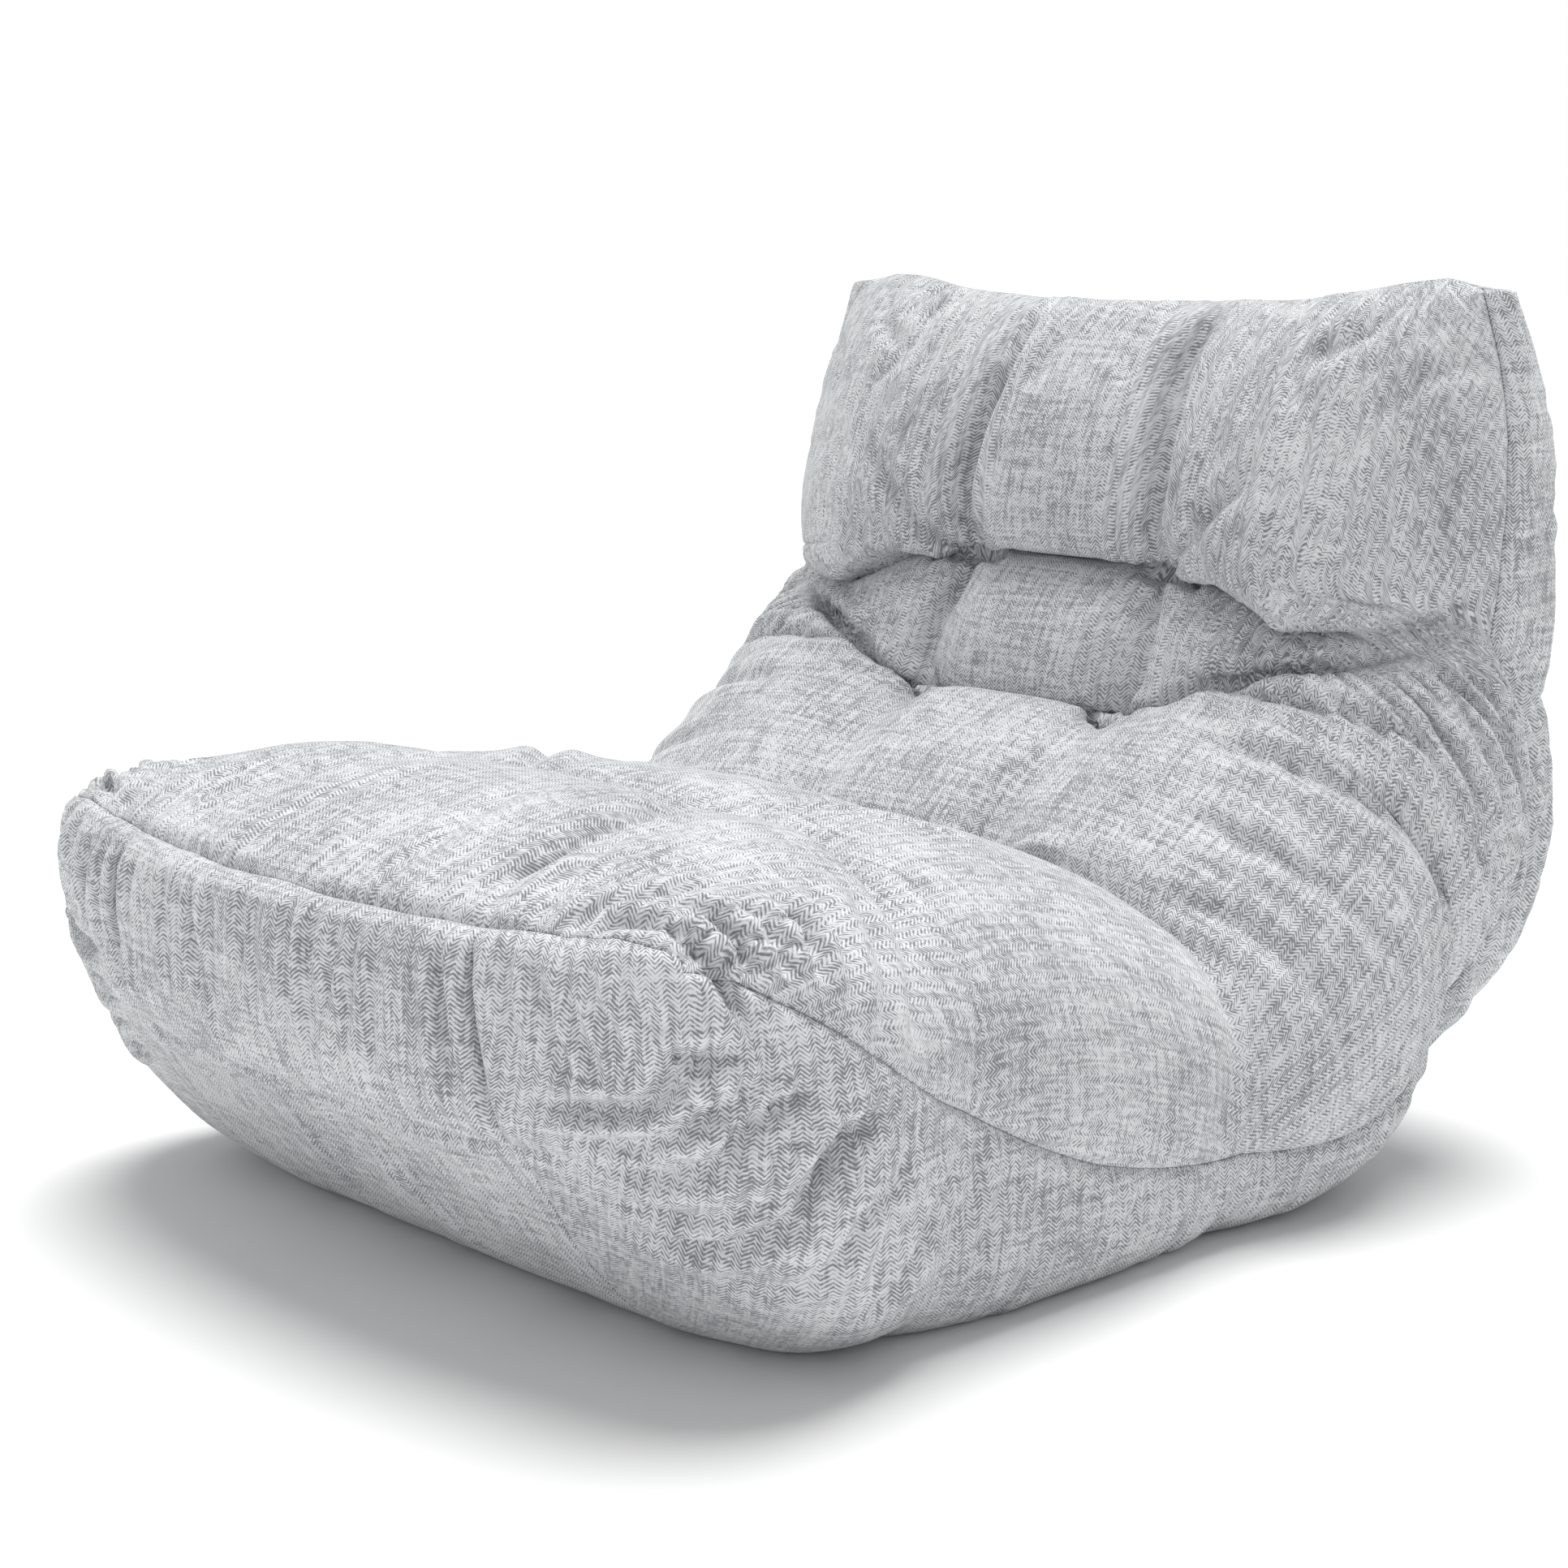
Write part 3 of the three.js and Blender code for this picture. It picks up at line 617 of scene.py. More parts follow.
def press_folds(cover, wide):
    """Presses the listed folds on both sides: the wide ones or the others."""
    normal = surface_normals(cover, cover.points)
    lines = []
    for path, depth, width in listed_folds():
        if (width >= WIDE_FOLD) == wide:
            for side in (1, -1):
                mirrored = [(kind, a, side * b) for kind, a, b in path]
                lines.append((fold_line(cover, mirrored), depth, width))
    for line, depth, width in lines:
        press_fold(cover.points, normal, line, depth, width)


def press_tufts(cover):
    """Draws the cover in round each tuft."""
    normal = surface_normals(cover, cover.points)
    points = cover.points.copy()
    for tuft in tuft_points(cover):
        away = np.linalg.norm(cover.points - cover.points[tuft], axis=1)
        pit, dish = (np.exp(-((away / radius) ** 2)) for radius in (TUFT_RADIUS, DISH_RADIUS))
        points -= TUFT_DEPTH * (PIT_SHARE * pit + DISH_SHARE * dish)[:, None] * normal
    cover.points = points


def relax(cover):
    """Blows the cloth out against its threads."""
    springs = Springs(cover)
    goal = goal_weights(cover)
    target = cover.points.copy()
    for tuft in tuft_points(cover):
        away = np.linalg.norm(target - target[tuft], axis=1)
        goal = np.maximum(goal, np.exp(-((away / TUFT_HOLD) ** 2)))
    goal = goal[:, None]
    points, before = target.copy(), target.copy()
    for step in range(RELAX_STEPS):
        if step % STEPS_PER_NORMAL == 0:
            normal = surface_normals(cover, points)
        speed = (points - before) * DAMPING
        before = points
        points = points + speed + PRESSURE * normal
        points = springs.pull(points)
        points += goal * (target - points)
        points[:, 2] = np.maximum(points[:, 2], FLOOR_GAP)
    cover.points = points


# Rounded bulges, as a place on the cover, how far they stand out and their radius.
SWELLS = [
    (H, 4.95, 0.76, 0.010, 0.085),
    (H, 4.40, 0.82, -0.016, 0.100),
    (T, 4.70, 0.78, 0.010, 0.080),
    (T, 0.20, 0.86, 0.012, 0.060),
    (F, 0.34, 0.84, 0.013, 0.060),
]


def swell(cover, kind, row, across, out, radius):
    """Pushes a rounded bulge out of the cover on both sides."""
    for side in (1, -1):
        centre = place(cover, kind, row, side * across)
        away = np.linalg.norm(cover.points - centre, axis=1)
        normal = surface_normals(cover, cover.points)
        cover.points += normal * (out * np.exp(-((away / radius) ** 2)))[:, None]


press_tufts(cover)
for kind, row, across, out, radius in SWELLS:
    swell(cover, kind, row, across, out, radius)
press_folds(cover, wide=True)
relax(cover)


# ---- a finer mesh for the small folds ----

FINER = 2  # what finer() multiplies the number of steps by
GATHER_WIDTH = 0.008
GATHER_TAPER = 0.35  # the share of a gather over which each end fades out
GATHER_SEED = 11
LUMP_HEIGHT = 0.0006
LUMP_SIZE = 0.07
LUMP_SEED = 5


def finer(values, axis):
    """Twice as many steps along an axis, with a smooth cubic through the old points."""
    v = np.moveaxis(np.asarray(values, float), axis, 0)
    before = np.concatenate([[2 * v[0] - v[1]], v[:-2]])
    after = np.concatenate([v[2:], [2 * v[-1] - v[-2]]])
    middle = (9 * (v[:-1] + v[1:]) - before - after) / 16
    out = np.empty((2 * len(v) - 1, *v.shape[1:]))
    out[::2], out[1::2] = v, middle
    return np.moveaxis(out, 0, axis)


class FineCover(Cover):
    """The relaxed cover at FINER times the resolution, with its own vertex numbers."""

    def __init__(self, base):
        self.number(finer(base.rows, 0), finer(base.across, 0), FINER * FRONT_STEPS)
        self.points, self.plain, self.body = (
            self.refined(base, points) for points in (base.points, base.plain, base.body)
        )

    def refined(self, base, points):
        out = np.zeros((self.count, 3))
        for grid, coarse in zip(self.grids[::-1], base.grids[::-1]):
            out[grid] = finer(finer(points[coarse], 0), 1)
        return out


def gathers(cover, rng):
    """Small folds that run away from the sewn edges and the tufts, as (line, depth, width)."""
    out = []

    def add(start, end, depth, least, most=1.2, width=GATHER_WIDTH):
        out.append((fold_line(cover, [start, end]), depth * rng.uniform(least, most), width))

    for across in np.arange(-0.90, 0.91, 0.045):
        at = across + rng.uniform(-0.015, 0.015)
        end = (F, rng.uniform(0.45, 1.0), at * rng.uniform(0.94, 0.99))
        add((F, 0.0, at), end, 0.0064, 0.4, width=0.0078)
        if abs(at) < 0.8:
            add((T, 0.0, at), (T, rng.uniform(0.08, 0.4), at * 0.94), 0.0032, 0.2)
            add((H, 0.0, at * 0.8), (H, rng.uniform(0.1, 0.3), at * 0.78), 0.0020, 0.2)
            add((T, 5.0, at), (T, 5 - rng.uniform(0.08, 0.40), at), 0.0030, 0.2, width=0.009)
        add((H, 5.0, at), (H, 5 - rng.uniform(0.05, 0.22), at), 0.0022, 0.2, 1.3, 0.007)
    for side in (1, -1):
        for row in np.arange(0.55, 4.8, 0.085):
            at = row + rng.uniform(-0.02, 0.02)
            skew = rng.uniform(-0.12, -0.02) if row < 2 else rng.uniform(-0.06, 0.06)
            end = (H, max(at + skew, 0.01), side * (1 - rng.uniform(0.06, 0.30)))
            add((H, at, side * 1.0), end, 0.0035, 0.2, 1.3)
            end = (T, at + rng.uniform(-0.05, 0.05), side * (1 - rng.uniform(0.04, 0.18)))
            add((T, at, side * 1.0), end, 0.0026, 0.2, 1.3)
        for row in (1, 2, 3, 4):
            for turn in np.arange(0, 2 * math.pi, 0.52):
                a = turn + rng.uniform(-0.2, 0.2)
                reach = rng.uniform(0.5, 1.2)
                start = (T, row + 0.03 * math.sin(a), side * (1 / 3 + 0.02 * math.cos(a)))
                end = (T, row + 0.24 * reach * math.sin(a), side * (1 / 3 + 0.15 * reach * math.cos(a)))
                add(start, end, 0.0045, 0.3)
    return out


def press_small_folds(cover):
    normal = surface_normals(cover, cover.points)
    for line, depth, width in gathers(cover, np.random.default_rng(GATHER_SEED)):
        press_fold(cover.points, normal, line, depth, width, GATHER_TAPER)
    cover.points += normal * (LUMP_HEIGHT * soft_noise(cover.points, LUMP_SIZE, LUMP_SEED))[:, None]
    cover.points[:, 2] = np.maximum(cover.points[:, 2], FLOOR_GAP)


def ease(cover, spots, radius, rounds):
    """Smooths the cover close to some of its points, where folds meet in a pinch."""
    first, second = [], []
    for grid in cover.grids:
        for a, b in (edge_pairs(grid, 1, 0), edge_pairs(grid, 0, 1)):
            apart = a != b
            first.append(a[apart])
            second.append(b[apart])
    a, b = np.concatenate(first + second), np.concatenate(second + first)
    count = np.bincount(a, minlength=len(cover.points))
    weight = np.zeros(len(cover.points))
    for spot in spots:
        away = np.linalg.norm(cover.points - cover.points[spot], axis=1)
        weight = np.maximum(weight, np.exp(-((away / radius) ** 4)))
    for _ in range(rounds):
        mean = np.stack([np.bincount(a, c, len(count)) / count for c in cover.points[b].T], -1)
        cover.points += weight[:, None] * (mean - cover.points)


cover = FineCover(cover)
press_folds(cover, wide=False)
press_small_folds(cover)
ROW_LINES = FINER * np.cumsum([0] + ROW_STEPS)
COLUMN_LINES = FINER * np.cumsum([0] + TOP_COLUMNS)
TUFTS = cover.top[np.ix_(ROW_LINES[1:-1], COLUMN_LINES[1:-1])].ravel()
# The front corners, the tufts and the top corners, with the radius and the rounds of smoothing.
for spots, radius, rounds in (
    (cover.top[0, [0, -1]], 0.013, 12),
    (TUFTS, 0.009, 8),
    (cover.top[-1, [0, -1]], 0.026, 40),
):
    ease(cover, spots, radius, rounds)

# ---- materials ----


class Nodes:
    """A material's node tree, written as expressions."""

    def __init__(self, name):
        self.material = bpy.data.materials.new(name)
        self.material.use_nodes = True
        self.tree = self.material.node_tree
        self.shader = self.tree.nodes["Principled BSDF"]

    def add(self, kind, inputs=(), **settings):
        node = self.tree.nodes.new(kind)
        for key, value in settings.items():
            setattr(node, key, value)
        for key, value in dict(inputs).items():
            self.put(node.inputs[key], value)
        return node

    def set(self, inputs):
        """Puts values or sockets on the shader's own inputs."""
        for key, value in inputs.items():
            self.put(self.shader.inputs[key], value)

    def bump(self, height, strength, distance):
        inputs = {"Height": height, "Strength": strength, "Distance": distance}
        return self.add("ShaderNodeBump", inputs).outputs[0]

    def put(self, socket, value):
        if isinstance(value, bpy.types.NodeSocket):
            self.tree.links.new(value, socket)
        else:
            socket.default_value = value

    def math(self, operation, a, b=0.0, c=0.0):
        node = self.add("ShaderNodeMath", operation=operation)
        for socket, value in zip(node.inputs, (a, b, c)):
            self.put(socket, value)
        return node.outputs[0]

    def noise(self, vector, scale, detail=2.0, roughness=0.5):
        inputs = {"Vector": vector, "Scale": scale, "Detail": detail, "Roughness": roughness}
        return self.add("ShaderNodeTexNoise", inputs).outputs["Fac"]

    def stretched(self, vector, scale):
        return self.add("ShaderNodeVectorMath", {0: vector, 1: scale}, operation="MULTIPLY").outputs[0]

    def mix_colour(self, share, a, b):
        return self.add("ShaderNodeMix", {0: share, 6: a, 7: b}, data_type="RGBA").outputs[2]

    def ramp(self, value, low, high):
        node = self.add("ShaderNodeMapRange", {"Value": value, "From Min": low, "From Max": high})
        return node.outputs[0]


LIGHT_THREAD = (0.735, 0.747, 0.762, 1)
DARK_THREAD = (0.225, 0.235, 0.25, 1)
ZIGZAG = 0.0070  # half the herringbone's repeat
RIB = 0.0037
STITCH = 0.0027
WOBBLE = 0.0012
RIB_CONTRAST = 0.80
STITCH_CONTRAST = 0.7
PATCH_CONTRAST = 1.3
# Thicker and darker stretches of thread, then streaks of several threads, which run along the warp and
# along the weft: the scale across and along, the noise's detail and roughness, and the contrast.
THREAD_NOISE = [(420.0, 28.0, 2.0, 0.5, 1.4), (160.0, 12.0, 3.0, 0.6, 1.6)]


def herringbone_material():
    m = Nodes("melange_herringbone")
    place = m.add("ShaderNodeUVMap", uv_map="weave").outputs[0]
    parts = m.add("ShaderNodeSeparateXYZ", {0: place})
    u, v = parts.outputs[0], parts.outputs[1]
    wobble = m.math("MULTIPLY", m.math("SUBTRACT", m.noise(place, 60.0), 0.5), WOBBLE)
    rise = m.math("ADD", m.math("ADD", v, m.math("PINGPONG", u, ZIGZAG)), wobble)
    turn = m.math("DIVIDE", rise, RIB)
    rib = m.math("MULTIPLY_ADD", m.math("SINE", m.math("MULTIPLY", turn, 2 * math.pi)), 0.7, 0.5)
    across = m.math("FLOOR", m.math("DIVIDE", u, STITCH))
    cell = m.add("ShaderNodeCombineXYZ", {0: across, 1: m.math("FLOOR", turn)})
    stitch = m.add("ShaderNodeTexWhiteNoise", {"Vector": cell.outputs[0]}, noise_dimensions="2D")
    stitch = stitch.outputs["Value"]
    parts = [(stitch, STITCH_CONTRAST)]
    for fine, coarse, detail, roughness, contrast in THREAD_NOISE:
        for scale in ((fine, coarse, 1.0), (coarse, fine, 1.0)):
            parts.append((m.noise(m.stretched(place, scale), 1.0, detail, roughness), contrast))
    parts.append((m.noise(place, 7.0, 4.0, 0.6), PATCH_CONTRAST))
    dark = m.math("MULTIPLY", rib, RIB_CONTRAST)
    for value, contrast in parts:
        dark = m.math("ADD", dark, m.math("MULTIPLY", m.math("SUBTRACT", value, 0.5), contrast))
    share = m.ramp(dark, 0.0, 1.0)
    height = m.math("ADD", rib, m.math("MULTIPLY", stitch, 0.6))
    m.set(
        {
            "Base Color": m.mix_colour(share, LIGHT_THREAD, DARK_THREAD),
            "Normal": m.bump(height, 0.3, 0.0004),
            "Roughness": m.ramp(share, -2.0, 1.5),
            "Sheen Weight": 0.25,
            "Sheen Roughness": 0.5,
            "Specular IOR Level": 0.2,
        }
    )
    return m.material


herringbone = herringbone_material()

# ---- panels: the mesh split where the cover is sewn ----

EDGE_ROLL = 0.0011  # how far the cloth rolls over at a seam
EDGE_GAP = 0.0002
EDGE_SINK = 0.0012
SEAM_ALLOWANCE = 0.006
BESIDE_ZIP = 6  # the columns either side of the zip's opening, where the base meets the back panel
SIDES = ("right", "centre", "left")


def weave_grid(grid):
    """A grid's flat pattern, in metres: across each row from the middle, and along each column."""
    points = cover.plain[grid]
    middle, anchor = grid.shape[1] // 2, grid.shape[0] // 2
    across = np.linalg.norm(np.diff(points, axis=1), axis=-1)
    u = np.concatenate([np.zeros((len(grid), 1)), np.cumsum(across, 1)], 1)
    along = np.linalg.norm(np.diff(points, axis=0), axis=-1)
    v = np.concatenate([np.zeros((1, grid.shape[1])), np.cumsum(along, 0)])
    return np.stack([u - u[:, middle : middle + 1], v - v[anchor]], -1)


GRAIN_STEPS = 500
LEVEL_PULL = 0.3  # keeps the weft pointing along the chair where the cloth lies nearly flat


def upright_weave(grids, side):
    """A side gore's flat pattern: the warp stands upright all round it, as near as one cloth can.

    Each thread step between neighbours should be its own length along and up the surface; the
    places that fit all the steps best come from conjugate gradients."""
    start, end = [], []
    for grid in grids:
        for first, second in (edge_pairs(grid, 1, 0), edge_pairs(grid, 0, 1)):
            start.append(first.ravel())
            end.append(second.ravel())
    used, ends = np.unique(np.concatenate([np.concatenate(start), np.concatenate(end)]), return_inverse=True)
    a, b = ends.reshape(2, -1)
    points, normal = cover.points[used], cover_normals[used]
    n = unit(normal[a] + normal[b])
    level = np.cross((0, 0, 1), n) + np.array([0, LEVEL_PULL * side, 0])
    level = unit(level - n * dot(level, n)[:, None])
    step = points[b] - points[a]
    wanted = np.stack([dot(step, level), dot(step, np.cross(n, level))], -1)

    def gathered_at(values):
        return np.stack([np.bincount(b, c, len(used)) - np.bincount(a, c, len(used)) for c in values.T], -1)

    flat = np.stack([points[:, 1] * side, points[:, 2]], -1)
    rest = gathered_at(wanted - (flat[b] - flat[a]))
    way, size = rest.copy(), (rest**2).sum(0)
    for _ in range(GRAIN_STEPS):
        pulled = gathered_at(way[b] - way[a])
        share = size / np.maximum((way * pulled).sum(0), 1e-30)
        flat += share * way
        rest -= share * pulled
        size, before = (rest**2).sum(0), size
        way = rest + size / np.maximum(before, 1e-30) * way
    out = np.zeros((len(cover.points), 2))
    out[used] = flat
    return out


def block(grid, weave, rows, columns, way=1):
    """The quads of part of a grid, as vertex numbers, and each corner's place in the weave."""
    i, j = np.meshgrid(np.arange(*rows), np.arange(*columns), indexing="ij")
    i, j = i.ravel(), j.ravel()
    corners_i = np.stack([i, i + 1, i + 1, i], -1)
    corners_j = np.stack([j, j, j + 1, j + 1], -1)
    if way < 0:
        corners_i, corners_j = corners_i[:, ::-1], corners_j[:, ::-1]
    return grid[corners_i, corners_j], weave[corners_i, corners_j]


def new_mesh(name, points, faces, weave, material):
    """A smooth mesh of quads, where a repeated corner makes a triangle, with its weave as a UV map."""
    doubled = faces == np.roll(faces, 1, axis=1)
    kept = ~doubled
    sizes = kept.sum(1)
    whole = sizes > 2
    kept, sizes = kept[whole], sizes[whole]
    corners, uvs = faces[whole][kept], weave[whole][kept]
    mesh = bpy.data.meshes.new(name)
    mesh.vertices.add(len(points))
    mesh.vertices.foreach_set("co", points.astype(np.float32).ravel())
    mesh.loops.add(len(corners))
    mesh.loops.foreach_set("vertex_index", corners.astype(np.int32))
    mesh.polygons.add(len(sizes))
    starts = np.concatenate([[0], np.cumsum(sizes)[:-1]])
    mesh.polygons.foreach_set("loop_start", starts.astype(np.int32))
    mesh.update(calc_edges=True)
    mesh.polygons.foreach_set("use_smooth", np.ones(len(sizes), bool))
    layer = mesh.uv_layers.new(name="weave")
    layer.data.foreach_set("uv", uvs.astype(np.float32).ravel())
    mesh.materials.append(material)
    mesh.validate()
    obj = bpy.data.objects.new(name, mesh)
    bpy.context.scene.collection.objects.link(obj)
    return obj


def panel(name, blocks, material):
    """One sewn panel: its quads, a rolled edge and a turned-in seam allowance."""
    faces = np.concatenate([corners for corners, _ in blocks])
    weave = np.concatenate([uv for _, uv in blocks])
    used, faces = np.unique(faces, return_inverse=True)
    faces = faces.reshape(-1, 4)
    points, normals = cover.points[used].copy(), cover_normals[used]
    count = len(points)
    start, end = faces.ravel(), np.roll(faces, -1, axis=1).ravel()
    real = start != end
    uv_at = np.zeros((count, 2))
    uv_at[start] = weave.reshape(-1, 2)
    key, back = start * count + end, end * count + start
    rim = real & ~np.isin(key, back[real])
    a, b = start[rim], end[rim]
    side = np.cross(normals[a], points[b] - points[a])
    inward = np.stack([np.bincount(a, c, count) + np.bincount(b, c, count) for c in side.T], -1)
    inward /= np.maximum(np.linalg.norm(inward, axis=1, keepdims=True), 1e-9)
    edge = np.unique(np.concatenate([a, b]))
    ring = np.full(count, -1)
    ring[edge] = np.arange(len(edge))
    line = points[edge] + inward[edge] * EDGE_GAP
    seam = line - normals[edge] * EDGE_SINK
    tucked = line - normals[edge] * (EDGE_SINK + SEAM_ALLOWANCE)
    points[edge] += inward[edge] * EDGE_ROLL
    seam_a, seam_b = count + ring[a], count + ring[b]
    rolled = np.stack([seam_a, seam_b, b, a], -1)
    turned = np.stack([seam_a + len(edge), seam_b + len(edge), seam_b, seam_a], -1)
    rim_uv = np.stack([uv_at[a], uv_at[b], uv_at[b], uv_at[a]], 1)[:, ::-1]
    all_points = np.concatenate([points, seam, tucked])
    all_faces = np.concatenate([faces, rolled, turned])
    all_weave = np.concatenate([weave, rim_uv, rim_uv])
    obj = new_mesh(name, all_points, all_faces, all_weave, material)
    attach(obj, "chair")
    return obj


def make_cover():
    last, columns = (size - 1 for size in cover.top.shape)
    middle = columns // 2
    gore, band, drop, zip_line = (FINER * n for n in (HULL_COLUMNS[0], BAND_COLUMN, FRONT_STEPS, ZIP_LINE))
    top_weave, hull_weave, front_weave = (weave_grid(grid) for grid in cover.grids)

    def add(name, node, rests_on, *blocks):
        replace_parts(panel(name, blocks, herringbone), node)

    pads = [f"quilt_pad_row{row + 1}_{side}" for row in range(ROWS) for side in SIDES]
    liners = [f"liner_{side}" for side in SIDES]
    whole = block(cover.top, top_weave, (0, last), (0, columns), -1)
    add("seat_and_back_top", "cover_top_panel", pads, whole)
    face = block(cover.front, front_weave, (0, drop), (band, columns - band))
    add("front_band", "cover_front_band", liners, face)
    for side, at_hull, at_front in (
        ("right", (0, gore), (0, band)),
        ("left", (columns - gore, columns), (columns - band, columns)),
    ):
        parts = [grid[:, at[0] : at[1] + 1] for grid, at in ((cover.hull, at_hull), (cover.front, at_front))]
        weave = upright_weave(parts, 1 if side == "left" else -1)
        along = block(cover.hull, weave[cover.hull], (0, last), at_hull)
        turned = block(cover.front, weave[cover.front], (0, drop), at_front)
        add(f"side_gore_{side}", f"cover_side_{side}", [f"liner_{side}"], along, turned)
    for side, across, beside_zip in (
        ("right", (gore, middle), (gore, gore + BESIDE_ZIP)),
        ("left", (middle, columns - gore), (columns - gore - BESIDE_ZIP, columns - gore)),
    ):
        under_seat = block(cover.hull, hull_weave, (0, zip_line - 2), across)
        closing = block(cover.hull, hull_weave, (zip_line - 2, zip_line), beside_zip)
        add(f"base_{side}", f"cover_base_{side}", [f"liner_{side}", "liner_centre"], under_seat, closing)
    behind = block(cover.hull, hull_weave, (zip_line, last), (gore, columns - gore))
    add("back_panel", "cover_back_panel", liners, behind)


cover_normals = surface_normals(cover, cover.points)
make_cover()

# ---- inside the cover: pads, backing, straps, liners and beads ----

CLEAR_OF_FOLDS = 5  # the lines either side over which the inner pieces pass beneath a fold


def lowest_nearby(values):
    """The lowest value near each vertex, eased so that it still changes smoothly."""
    out = values.copy()
    for grid in cover.grids:
        v = np.pad(out[grid], CLEAR_OF_FOLDS, mode="edge")
        for _ in range(CLEAR_OF_FOLDS):
            v[1:-1] = np.minimum(v[1:-1], np.minimum(v[2:], v[:-2]))
            v[:, 1:-1] = np.minimum(v[:, 1:-1], np.minimum(v[:, 2:], v[:, :-2]))
        for _ in range(CLEAR_OF_FOLDS):
            v[1:-1] = (v[1:-1] * 2 + v[2:] + v[:-2]) / 4
            v[:, 1:-1] = (v[:, 1:-1] * 2 + v[:, 2:] + v[:, :-2]) / 4
        inner = slice(CLEAR_OF_FOLDS, -CLEAR_OF_FOLDS)
        out[grid] = np.minimum(v[inner, inner], values[grid])
    return out


def under(depth, margin):
    """Points `depth` beneath the body's surface, and never closer to the cover than `margin`."""
    return cover.body + body_normal * np.minimum(-depth, body_stands - margin)[:, None]


body_normal = surface_normals(cover, cover.body)
body_stands = lowest_nearby(dot(cover.points - cover.body, body_normal))


def quads(grid):
    """Each quad of a grid of vertex numbers."""
    return np.stack([grid[:-1, :-1], grid[1:, :-1], grid[1:, 1:], grid[:-1, 1:]], -1).reshape(-1, 4)


def solid(name, points, faces, material, slot_name, body="chair"):
    """One closed piece, with its weave laid over it from the front, on its body."""
    obj = new_mesh(name, points, faces, points[faces][..., [0, 2]], material)
    bm = bmesh.new()
    bm.from_mesh(obj.data)
    bmesh.ops.recalc_face_normals(bm, faces=bm.faces)
    bm.to_mesh(obj.data)
    bm.free()
    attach(obj, body)
    return obj


def closed_shell(outer, inner):
    """The points and faces of a closed form between two grids of points."""
    count = outer.shape[0] * outer.shape[1]
    at = np.arange(count).reshape(outer.shape[:2])
    rim = np.concatenate([at[0, :-1], at[:-1, -1], at[-1, :0:-1], at[:0:-1, 0]])
    ahead = np.roll(rim, -1)
    sides = np.stack([rim, ahead, ahead + count, rim + count], -1)
    points = np.concatenate([outer.reshape(-1, 3), inner.reshape(-1, 3)])
    return points, np.concatenate([quads(at), quads(at + count)[:, ::-1], sides])


def between(start, end, margin, most):
    """At most `most` whole numbers, spread evenly from start to end but for a margin."""
    return np.unique(np.linspace(start + margin, end - margin, most).astype(int))


CELL_MARGIN, CELL_LINES = 3, 30
PAD_INSET = 14  # the columns between the outer pads and the side seams
PAD_GAP = 0.004  # between a pad and the cover
# How deep beneath the body's surface, and at least how far beneath the cover.
PAD_UNDERSIDE = (0.006, 0.008)
BACKING_FACES = ((0.010, 0.011), (0.0115, 0.0125))


def make_pads(material):
    """A fibre pad in each quilting cell, from just under the cover down to a little inside the body."""
    outer, inner = under(-1, PAD_GAP), under(*PAD_UNDERSIDE)
    edges = COLUMN_LINES + [PAD_INSET, 0, 0, -PAD_INSET]
    for row in range(ROWS):
        rows = between(*ROW_LINES[row : row + 2], CELL_MARGIN, CELL_LINES)
        for column, side in enumerate(SIDES):
            columns = between(*edges[column : column + 2], CELL_MARGIN, CELL_LINES)
            cell = cover.top[np.ix_(rows, columns)]
            name = f"quilt_pad_row{row + 1}_{side}"
            obj = solid(name + "_wadding", *closed_shell(outer[cell], inner[cell]), material, "fibre")
            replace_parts(obj, name)


def make_backing(material):
    """The scrim under all the pads."""
    rows = between(0, ROW_LINES[-1], 6, 84)
    columns = between(0, COLUMN_LINES[-1], 18, 84)
    cell = cover.top[np.ix_(rows, columns)]
    outer, inner = (under(*face)[cell] for face in BACKING_FACES)
    obj = solid("quilt_backing_scrim", *closed_shell(outer, inner), material, "scrim")
    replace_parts(obj, "quilt_backing")


def tube(rings):
    """The points and faces of a tube through rings of points, closed by a fan of triangles at each end."""
    n, m = rings.shape[:2]
    at = np.arange(n * m).reshape(n, m)
    at = np.concatenate([at, at[:, :1]], 1)
    faces = [quads(at)]
    for ring, middle in ((at[0], n * m), (at[-1], n * m + 1)):
        faces.append(np.stack([ring[:-1], ring[1:], np.full(m, middle), np.full(m, middle)], -1))
    ends = np.stack([rings[0].mean(0), rings[-1].mean(0)])
    return np.concatenate([rings.reshape(-1, 3), ends]), np.concatenate(faces)


DOME_SHARES = (0.25, 0.5, 0.72, 0.88, 0.97)  # each dome ring's share of the end ring's radius
DOME_HEIGHT = 0.03


def rounded_tube(rings, inset):
    """A tube through the rings with domed ends, drawn in by `inset`."""
    centre = rings.mean(1, keepdims=True)
    away = rings - centre
    rings = centre + away * (1 - inset / np.linalg.norm(away, axis=-1, keepdims=True))
    domes = []
    for end, step in ((0, 1), (-1, -1)):
        way = (centre[end] - centre[end + step]) / np.linalg.norm(centre[end] - centre[end + step])
        dome = []
        for share in DOME_SHARES:
            rise = math.sqrt(1 - share**2) * DOME_HEIGHT - inset
            dome.append(centre[end] + (rings[end] - centre[end]) * share + way * rise)
        domes.append(dome)
    return tube(np.concatenate([domes[0], rings, domes[1][::-1]]))


LINER_ROWS = (0.33, 4.5)
LINER_FACE = (0.028, 0.016)
LINER_CLOTH = 0.0016
BEAD_GAP = 0.0045
SIDE_LINER_TOP = 84  # the top columns that a side liner reaches over from the tuft line
SIDE_LINER_HULL = 36  # the hull columns between a side liner and the side seam
AISLE = 34  # hull columns from the centre line to the tuft line
HULL_MIDDLE = (cover.hull.shape[1] - 1) // 2


